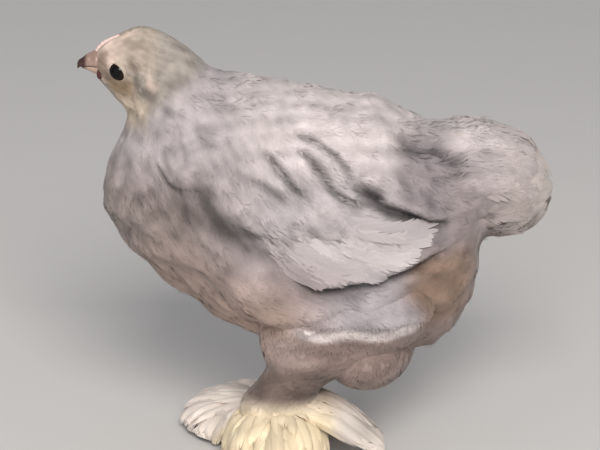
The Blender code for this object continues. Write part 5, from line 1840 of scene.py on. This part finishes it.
@dataclass
class Coat:
    """The small feathers over the skin, in zones from the face to the vent."""

    trunk: Trunk
    eyes: list[Eye]

    ZONES = (
        Zone("coat_face", 0.25, 2.9, 14, 180, 7800, 1, seed=11),
        Zone("coat_crown", 0.9, 4.6, 0, 64, 1950, seed=12),
        Zone("coat_neck", 2.8, 6.0, 58, 180, 2100, seed=13),
        Zone("coat_hackle", 4.4, 7.2, 0, 100, 1700, seed=14),
        Zone("coat_breast", 5.6, 9.4, 90, 180, 2450, seed=15),
        Zone("coat_back", 6.6, 11.6, 0, 50, 1700, seed=16),
        Zone("coat_belly", 8.8, 13.4, 100, 180, 1550, seed=17),
        Zone("coat_saddle", 10.8, 13.9, 0, 100, 1800, seed=18),
        Zone("coat_rear", 11.2, 13.8, 86, 180, 1100, seed=19),
    )

    WISPS = Zone("coat_wisps", 4.6, 14.6, 0, 180, 560, 3, 4, seed=20)
    WISP_SIZES = ((4.6, 7.0, 0.13, 0.9, 0.4), (14.6, 9.0, 0.15, 1.5, 0.4))
    WISP_GROWTH = Growth(WISP_SIZES, fan=20.0, stray=0.25, tuck=1.0)

    BUNCHES = (
        (Zone("bunches_saddle", 11.0, 12.6, 0, 42, 34, seed=52), (12.0, 18.0), (0.9, 2.4), (2.4, 3.6)),
        (Zone("bunches_nape", 4.6, 6.0, 0, 40, 22, seed=53), (9.0, 13.0), (0.6, 1.5), (1.8, 2.8)),
        (Zone("bunches_tail", 12.8, 15.2, 0, 180, 60, seed=55), (14.0, 20.0), (0.3, 1.3), (2.4, 3.6)),
    )

    LAST = 16.6
    HEAD_END = 6.5

    def bunches(self, zone: Zone, reach: tuple, lift: tuple, half: tuple) -> Strands:
        """Soft bunches that follow the lie of the plumage, roots sunk and tips a little raised."""
        rng = seeded(zone.seed)
        u, v = scatter(self.trunk, zone, rng)
        n = len(u)
        along, around, _ = self.trunk.frame(u, v)
        lean = self.trunk.lie(u, v) + rng.normal(0, 0.14, n)
        far = rng.uniform(*reach, n)
        end_u = u + np.cos(lean) * far / np.linalg.norm(along, axis=-1)
        end_v = v + np.sin(lean) * far / np.linalg.norm(around, axis=-1)
        ends = np.stack([u, v], -1), np.stack([np.minimum(end_u, self.LAST), end_v], -1)
        sizes = rng.uniform(*lift, n), rng.uniform(*half, n)
        locks = Locks(*ends, *sizes, crown=0.12, shade=1.0, seed=zone.seed, root=-1.8, contrast=0.3)
        return locks.on(self.trunk)

    def build(self) -> None:
        """Makes each zone as one piece."""
        rng = seeded(self.WISPS.seed)
        wisps = grown(self.trunk, self.WISP_GROWTH, self.WISPS, rng)
        register(strand_object(self.WISPS.name, [wisps], Finish.PLUMAGE), "plumage")
        bunches = [self.bunches(zone, *sizes) for zone, *sizes in self.BUNCHES]
        register(strand_object("coat_bunches", bunches, Finish.PLUMAGE), "plumage")
        for zone in self.ZONES:
            rng = seeded(zone.seed)
            u, v = scatter(self.trunk, zone, rng)
            finish, slot = Finish.PLUMAGE, "plumage"
            if zone.end < self.HEAD_END:
                keep = self.clear_of_face(self.trunk.point(u, v))
                u, v = u[keep], v[keep]
                finish, slot = Finish.HEAD, "head_feathers"
            coat = tufts(self.trunk, BODY_GROWTH, zone, rng, u, v)
            register(strand_object(zone.name, [coat], finish), slot)

    def clear_of_face(self, points: Array) -> Array:
        """Which roots keep off the lids and the comb."""
        keep = np.ones(len(points), bool)
        for eye in self.eyes:
            centre, outward, forward, upward = eye.axes()
            off = points - centre
            x, y = off @ forward, off @ upward
            keep &= (np.hypot(x, y) > eye.opening(np.arctan2(y, x)) + 0.6) | (off @ outward < 0)
        comb = (np.abs(points[:, 1]) < 1.3) & (points[:, 2] > 192) & (points[:, 0] < -89)
        return keep & ~comb


@dataclass
class Wing:
    """A folded wing: soft coverts over the relief and the long feathers of its lower edge."""

    side: str
    sign: float
    trunk: Trunk

    TIERS = (
        Tier(5, ((9.6, 72), (9.2, 88)), ((12.45, 88), (11.0, 98)), (-1.6, 0.3), (5.6, 4.8), 2.0, 0.2),
        Tier(5, ((8.8, 80), (8.4, 92)), ((11.0, 92), (9.75, 103)), (-1.6, 0.3), (5.2, 4.4), 2.0, 0.1),
    )
    COVERTS = Zone("coverts", 6.0, 12.3, 30, 109, 2150, seed=21)

    GROWTH = Growth(((6.0, 7.2, 0.60, 0.26, 0.4), (8.0, 8.6, 0.66, 0.34, 0.4), (12.1, 9.4, 0.66, 0.45, 0.4)))

    def build(self) -> None:
        """Makes the feathers as one piece that stands for the wing's solid."""
        bundles = []
        for k, tier in enumerate(self.TIERS):
            seed = 100 + 10 * k + int(self.sign)
            bundles += tier_quills(self.trunk, tier, self.sign, seed, barbs=30, tilt=0.05).strands()
        rng = seeded(self.COVERTS.seed + int(self.sign))
        bundles.append(grown(self.trunk, self.GROWTH, self.COVERTS, rng, (self.sign,)))
        piece = strand_object(f"wing_feathers_{self.side}", bundles, Finish.PLUMAGE)
        register(piece, "plumage", f"wing_{self.side}")


@dataclass
class Fringe(Form):
    """The tail's soft end: a tube that narrows backwards beyond the trunk."""

    span: tuple[float, float] = (0.0, 1.0)
    patch: tuple[float, float, float, float] = (0.63, 0.98, 0.16, 0.015)
    ROWS = table(
        (86.0, 133.0, 25.6, 25.0),
        (94.0, 132.6, 23.6, 22.4),
        (101.0, 132.0, 19.5, 18.5),
        (106.5, 131.4, 13.0, 12.0),
        (110.5, 131.0, 4.0, 3.6),
    )

    def point(self, u: Array, v: Array, grow: Array | float = 0.0) -> Array:
        """Upright oval round the tail's middle line."""
        x, z, side, up = np.moveaxis(curve_rows(self.ROWS, np.asarray(u, float) * 4), -1, 0)
        point = np.broadcast_arrays(x, -(side + grow) * np.sin(v), z + (up + grow) * np.cos(v))
        return np.stack(point, -1).astype(float)


@dataclass
class Tail:
    """The short, round tail: soft fluff in long tufts, ragged at the end."""

    trunk: Trunk

    RINGS = (
        Tier(9, ((15.2, 20), (15.2, 340)), ((16.7, 20), (16.7, 340)), (-2.0, 0.4), (6.4, 6.4), 0.0),
        Tier(14, ((13.9, 0), (13.9, 336)), ((16.2, 0), (16.2, 336)), (-2.0, 0.2), (6.2, 6.2), 0.0),
    )
    LONG = Zone("tail_long", 13.0, 16.2, 0, 180, 1950, seed=31)
    END = Zone("tail_end", 15.4, 16.95, 0, 180, 800, seed=32)
    WISPS = Zone("tail_wisps", 16.1, 16.95, 0, 180, 150, 4, 4, seed=33)
    WISP_SIZES = ((16.1, 8.0, 0.16, 2.6, 0.5), (16.95, 7.0, 0.14, 4.2, 0.5))
    WISP_GROWTH = Growth(WISP_SIZES, fan=22.0, stray=0.3, tuck=1.0)
    GROWTH = Growth(
        (
            (13.0, 11.0, 0.60, 0.6, 0.5),
            (15.0, 12.0, 0.58, 0.8, 0.5),
            (16.2, 10.0, 0.50, 1.0, 0.6),
            (16.95, 7.0, 0.44, 1.4, 0.6),
        ),
        fan=15.0,
        stray=0.13,
        tuck=0.5,
    )

    def build(self) -> None:
        """Makes the feathers as one piece that stands for the tail's solid."""
        bundles = []
        for k, tier in enumerate(self.RINGS):
            bundles += tier_quills(self.trunk, tier, -1.0, 200 + k, barbs=20).strands()
        for zone in (self.LONG, self.END, self.WISPS):
            growth = self.WISP_GROWTH if zone is self.WISPS else self.GROWTH
            bundles.append(grown(self.trunk, growth, zone, seeded(zone.seed)))
        bundles.append(self.fringe())
        register(strand_object("tail_feathers", bundles, Finish.PLUMAGE), "plumage", "tail")

    def fringe(self) -> Strands:
        """Soft locks round the tail's end, each with its own reach."""
        rng = seeded(34)
        n = 80
        turn = 2 * math.pi * (np.arange(n) * 0.618 % 1.0) + rng.normal(0, 0.05, n)
        first = rng.uniform(-0.10, 0.42, n)
        last = np.minimum(first + rng.uniform(0.45, 0.75, n), 1.06)
        ends = np.stack([first, turn], -1), np.stack([last, turn + rng.normal(0, 0.16, n)], -1)
        sizes = rng.uniform(0.2, 1.6, n), rng.uniform(2.2, 3.4, n)
        return Locks(*ends, *sizes, crown=0.2, shade=0.95, seed=35, root=-0.6, contrast=0.5).on(Fringe())


@dataclass
class LegCoat:
    """The coat of the flanks, the shanks and the fluff under the vent."""

    legs: dict[str, Leg]
    ball: Ball

    THIGH = Zone("thigh", 0.2, 5.3, 0, 360, 1020, seed=41)
    SKIRT = Zone("skirt", 0.3, 2.2, 15, 165, 420, seed=44)
    SHANK = Zone("shank", 5.0, 11.2, 0, 360, 640, seed=42)
    FLUFF = Zone("fluff", 1.2, 3.1, 0, 360, 900, seed=43)
    GROWTH = Growth(
        (
            (0.0, 8.0, 0.64, 0.25, 0.4),
            (4.0, 7.5, 0.62, 0.25, 0.4),
            (7.0, 6.0, 0.56, 0.22, 0.4),
            (11.0, 6.5, 0.54, 0.35, 0.4),
        )
    )
    SKIRT_GROWTH = Growth(((0.3, 13.0, 0.62, 0.4, 0.6), (2.2, 9.0, 0.58, 0.9, 0.4)), tuck=0.6)
    FLUFF_GROWTH = Growth(((0.0, 7.5, 0.64, 0.25, 0.4), (3.1, 7.5, 0.62, 0.3, 0.4)))

    def build(self) -> None:
        """Makes one piece for each leg and one for the fluff."""
        for side, sign in SIDES:
            bundles = []
            for zone in (self.THIGH, self.SHANK, self.SKIRT):
                growth = self.SKIRT_GROWTH if zone is self.SKIRT else self.GROWTH
                rng = seeded(zone.seed + int(sign))
                bundles.append(grown(self.legs[side], growth, zone, rng, ROUND))
            register(strand_object(f"coat_leg_{side}", bundles, Finish.PLUMAGE), "plumage")
        rng = seeded(self.FLUFF.seed)
        bundle = grown(self.ball, self.FLUFF_GROWTH, self.FLUFF, rng, ROUND)
        register(strand_object("coat_fluff", [bundle], Finish.PLUMAGE), "plumage")


@dataclass
class Mop(Form):
    """The dome of feathers over a foot: from the shank out by a sine, then down to the floor.

    The place runs from the top, 0, to the hem, 1. Turn 0 points forward and a quarter turn points
    outward. The front may drop lower and reach further than the rest.
    """

    side: str
    sign: float
    hem: float = 3.0
    reach: float = 24.5
    span: tuple[float, float] = (0.0, 1.0)

    TOP = {"left": 30.0, "right": 15.0}
    DROP = {"left": 0.5, "right": 1.0}
    FRONT = {"left": 0.04, "right": 0.72}

    def __post_init__(self) -> None:
        """Each foot has its own patch."""
        self.patch = (0.81 if self.sign < 0 else 0.905, 0.51, 0.085, 0.20)

    def point(self, u: Array, v: Array, grow: Array | float = 0.0) -> Array:
        """Point of the dome for a place and a turn."""
        u, v = np.broadcast_arrays(np.asarray(u, float), v)
        front = np.clip(np.cos(v), 0, 1)
        top = self.TOP[self.side] - self.DROP[self.side] * front
        reach = self.reach * (1 + self.FRONT[self.side] * front - 0.10 * np.clip(-np.cos(v), 0, 1))
        out = 5.0 + (reach - 5.0 + grow) * np.sin(math.pi / 2 * np.clip(u, 0, 1.1)) ** 0.85
        z = top + grow - (top + grow - self.hem) * np.clip(u, 0, 2) ** 2.0
        return foot_point(self.side, self.sign, np.cos(v) * out, np.sin(v) * out, np.maximum(z, 0.3))


@dataclass
class Hock(Form):
    """The fall of feathers behind a shank: a flattened tube down and back to the floor.

    Turn 0 is its outer side and a quarter turn its upper side.
    """

    side: str
    sign: float
    span: tuple[float, float] = (0.0, 1.0)
    ROWS = {
        "left": table(
            (-12.0, 24.0, 30.0, 8.0, 8.0),
            (-1.0, 23.5, 28.5, 10.0, 9.0),
            (11.0, 22.0, 22.5, 12.0, 9.5),
            (23.0, 20.0, 13.5, 12.5, 8.5),
            (33.0, 18.0, 6.5, 10.0, 5.0),
        ),
        "right": table(
            (-12.0, 24.0, 20.0, 7.0, 6.0),
            (-2.0, 23.5, 17.0, 9.0, 6.0),
            (8.0, 22.0, 12.0, 10.0, 6.0),
            (18.0, 20.0, 7.5, 10.0, 5.0),
            (27.0, 18.0, 4.0, 8.0, 3.0),
        ),
    }

    def __post_init__(self) -> None:
        """Each fall has its own patch."""
        self.patch = (0.81 if self.sign < 0 else 0.905, 0.49, 0.085, 0.02)

    def point(self, u: Array, v: Array, grow: Array | float = 0.0) -> Array:
        """Upright oval round the fall's middle line."""
        rows = self.ROWS[self.side]
        x, y, z, across, high = np.moveaxis(curve_rows(rows, np.asarray(u, float) * (len(rows) - 1)), -1, 0)
        x = x + STRIDE[self.side]
        y = self.sign * (y + (across + grow) * np.cos(v))
        z = np.maximum(z + (high + grow) * np.sin(v), 0.3)
        return np.stack(np.broadcast_arrays(x, y, z), -1)


@dataclass
class FootFeathers:
    """The feathers that fall over a foot like a mop, and those that sweep back behind it."""

    side: str
    sign: float
    leg: Leg

    ROWS = (
        (24, 0.34, 1.06, 3.3, 0.2),
        (22, 0.20, 1.00, 3.4, 0.8),
        (17, 0.08, 0.84, 3.3, 1.5),
        (12, 0.00, 0.62, 3.0, 2.2),
        (8, -0.02, 0.42, 2.7, 2.8),
    )
    DOWN = Zone("mop_down", 0.02, 1.0, 0, 360, 380, seed=62)
    SOFT = Zone("fall_soft", 0.0, 0.96, 0, 180, 380, seed=63)
    SOFT_GROWTH = Growth(((0.0, 8.0, 0.56, 0.6, 0.6), (0.96, 7.0, 0.50, 0.8, 0.6)))
    DOWN_GROWTH = Growth(((0.0, 7.0, 0.50, 0.3, 1.0), (1.0, 6.0, 0.50, 0.3, 0.8)))

    def mop(self) -> list[Strands]:
        """Rings of locks over the dome, each from its root towards the hem, over short down."""
        rng = seeded(60 + int(self.sign))
        dome = Mop(self.side, self.sign)
        rows = []
        for count, first, last, width, high in self.ROWS:
            turn = 2 * math.pi * (np.arange(count) + rng.uniform()) / count + rng.normal(0, 0.10, count)
            first, last = first + rng.normal(0, 0.02, count), last * rng.normal(1.0, 0.06, count)
            lift, half = high + rng.normal(0, 0.35, count), width * rng.normal(1.0, 0.12, count)
            rows.append(np.stack([first, turn, last, turn + rng.normal(0, 0.14, count), lift, half], -1))
        rows = np.concatenate(rows)
        made = Locks(rows[:, :2], rows[:, 2:4], rows[:, 4], rows[:, 5], seed=61).on(dome)
        return [made, grown(dome, self.DOWN_GROWTH, self.DOWN, rng, ROUND)]

    def fall(self) -> list[Strands]:
        """The soft locks behind the shank, along the fall's length."""
        rng = seeded(70 + int(self.sign))
        form = Hock(self.side, self.sign)
        n = 34
        turn = math.pi * rng.uniform(0.03, 0.97, n)
        start = np.stack([rng.uniform(-0.05, 0.5, n), turn], -1)
        end = np.stack([start[:, 0] + rng.uniform(0.4, 0.62, n), turn + rng.normal(0, 0.15, n)], -1)
        half = rng.uniform(3.0, 4.2, n)
        lift = rng.uniform(0.2, 1.4, n)
        made = Locks(start, end, lift, half, 15, 8, crown=0.35, shade=0.9, seed=71).on(form)
        return [made, grown(form, self.SOFT_GROWTH, self.SOFT, rng, ROUND)]

    def toes(self) -> list[Strands]:
        """Short tufts along the toes."""
        made = []
        growth = Growth(((0.0, 6.0, 0.5, 0.9, 0.4), (1.0, 5.0, 0.45, 0.8, 0.4)))
        for slot, (name, angle, length, radius) in enumerate(TOES):
            toe = Toe(self.side, self.sign, name, angle, length, radius, slot)
            zone = Zone(name, 0.2, 0.86, 8, 172, 100, 3, seed=80 + slot)
            made.append(grown(toe, growth, zone, seeded(zone.seed), ROUND))
        return made

    def build(self) -> None:
        """Makes the foot's feathers as one piece that stands for its solid."""
        bundles = self.mop() + self.fall() + self.toes()
        piece = strand_object(f"foot_feathers_{self.side}", bundles, Finish.FOOT)
        register(piece, "foot_feathers", f"foot_{self.side}")


@dataclass
class Claws:
    """The claws: tapered tubes that curve down from the ends of the toes."""

    length: float = 6.0
    radius: float = 1.5

    def build(self) -> None:
        """Makes the eight claws, each standing for its solid."""
        for side, sign in SIDES:
            for name, angle, length, radius in TOES:
                turn = math.radians(angle)
                s = np.linspace(0, 1, 22)
                reach = length - 1.5 + (self.length + 1.5) * s
                z = radius * 0.8 * (1 - s**2) + 0.55 * s**2
                path = foot_point(side, sign, math.cos(turn) * reach, math.sin(turn) * reach, z)
                travel = unit(np.gradient(path, axis=0))
                across = unit(np.cross(UP, travel))
                rise = np.cross(travel, across)
                size = self.radius * (1 - 0.86 * s**1.2)
                v = whole_turn(18)
                ring = across[:, None] * (0.82 * np.cos(v))[:, None] + rise[:, None] * np.sin(v)[:, None]
                points = path[:, None] + ring * size[:, None, None]
                points[..., 2] = np.maximum(points[..., 2], 0.05)
                piece = mesh_object(f"nail_{name}_{side}", *ring_mesh(points), Finish.CLAW)
                register(piece, "claw_horn", f"claw_{name}_{side}")


# Stage


@dataclass(frozen=True)
class Studio:
    """Pale floor, soft light and the camera of the photograph's angle."""

    target: Triple = (0.0, 0.0, 0.1)
    distance: float = 1.3
    elevation: float = 20.0
    scale: float = 0.468
    target_pixel: tuple[float, float] = (314.0, 249.4)
    sensor: float = 36.0
    floor_half: float = 6.0

    def floor(self) -> None:
        """A large level plane in a pale matt finish."""
        mesh = bpy.data.meshes.new("floor")
        size = self.floor_half
        plan = [(-size, -size, 0), (size, -size, 0), (size, size, 0), (-size, size, 0)]
        mesh.from_pydata(plan, [], [(0, 1, 2, 3)])
        made, tree, shader = new_material("pale_floor")
        mottle = place_mottle(tree, (3.0, 0.03), (40.0, 0.02))
        mottle.inputs["Color"].default_value = (0.66, 0.64, 0.62, 1.0)
        tree.links.new(mottle.outputs["Color"], shader.inputs["Base Color"])
        shader.inputs["Roughness"].default_value = 0.85
        mesh.materials.append(made)
        linked("floor", mesh)

    def lamp(self, name: str, place: Triple, size: float, power: float, tint: Triple) -> None:
        """A square soft lamp that points at the bird."""
        data = bpy.data.lights.new(name, "AREA")
        data.size = size
        data.energy = power
        data.color = tint
        lamp = linked(name, data)
        lamp.location = place
        way = np.array(self.target) - np.array(place)
        tilt, turn = math.acos(-way[2] / np.linalg.norm(way)), math.atan2(way[1], way[0]) - math.pi / 2
        lamp.rotation_euler = (tilt, 0.0, turn)

    def lights(self) -> None:
        """A high key from the right, a broad fill from the front and a pale surround."""
        self.lamp("key", (0.15, -1.55, 1.3), 0.8, 34.0, (1.0, 0.98, 0.95))
        self.lamp("fill", (-1.2, -1.5, 0.6), 1.6, 4.0, (0.94, 0.97, 1.0))
        world = bpy.data.worlds.new("surround")
        world.use_nodes = True
        set_values(world.node_tree.nodes["Background"], Color=(0.95, 0.96, 1.0, 1.0), Strength=0.40)
        bpy.context.scene.world = world

    def camera(self) -> None:
        """A long lens at the photograph's height, shifted so that the bird sits as framed there."""
        data = bpy.data.cameras.new("camera")
        data.sensor_width = self.sensor
        data.lens = self.distance / (self.scale * MM) * self.sensor / FRAME_WIDTH
        data.shift_x = -(self.target_pixel[0] - FRAME_WIDTH / 2) / FRAME_WIDTH
        data.shift_y = (self.target_pixel[1] - FRAME_HEIGHT / 2) / FRAME_WIDTH
        data.clip_end = 50.0
        camera = linked("camera", data)
        tilt = math.radians(self.elevation)
        camera.location = (
            self.target[0],
            self.target[1] - self.distance * math.cos(tilt),
            self.target[2] + self.distance * math.sin(tilt),
        )
        camera.rotation_euler = (math.pi / 2 - tilt, 0.0, 0.0)
        bpy.context.scene.camera = camera

    def build(self) -> None:
        """Makes the whole stage."""
        self.floor()
        self.lights()
        self.camera()
        bpy.context.scene.view_settings.view_transform = "Standard"


def main() -> None:
    """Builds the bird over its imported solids."""
    logging.basicConfig(level=logging.INFO, format="%(name)s: %(message)s")
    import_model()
    trunk, ball = Trunk(), Ball()
    trunk.relief = Relief(trunk)
    legs = {side: Leg(side, sign) for side, sign in SIDES}
    Studio().build()
    Skin(trunk, legs, ball).build()
    eyes = [Eye(side, sign, trunk) for side, sign in SIDES]
    for eye in eyes:
        eye.build()
    Bill().build()
    Comb(trunk).build()
    Coat(trunk, eyes).build()
    for side, sign in SIDES:
        Wing(side, sign, trunk).build()
        FootFeathers(side, sign, legs[side]).build()
    Tail(trunk).build()
    LegCoat(legs, ball).build()
    Claws().build()


if __name__ == "__main__":
    main()
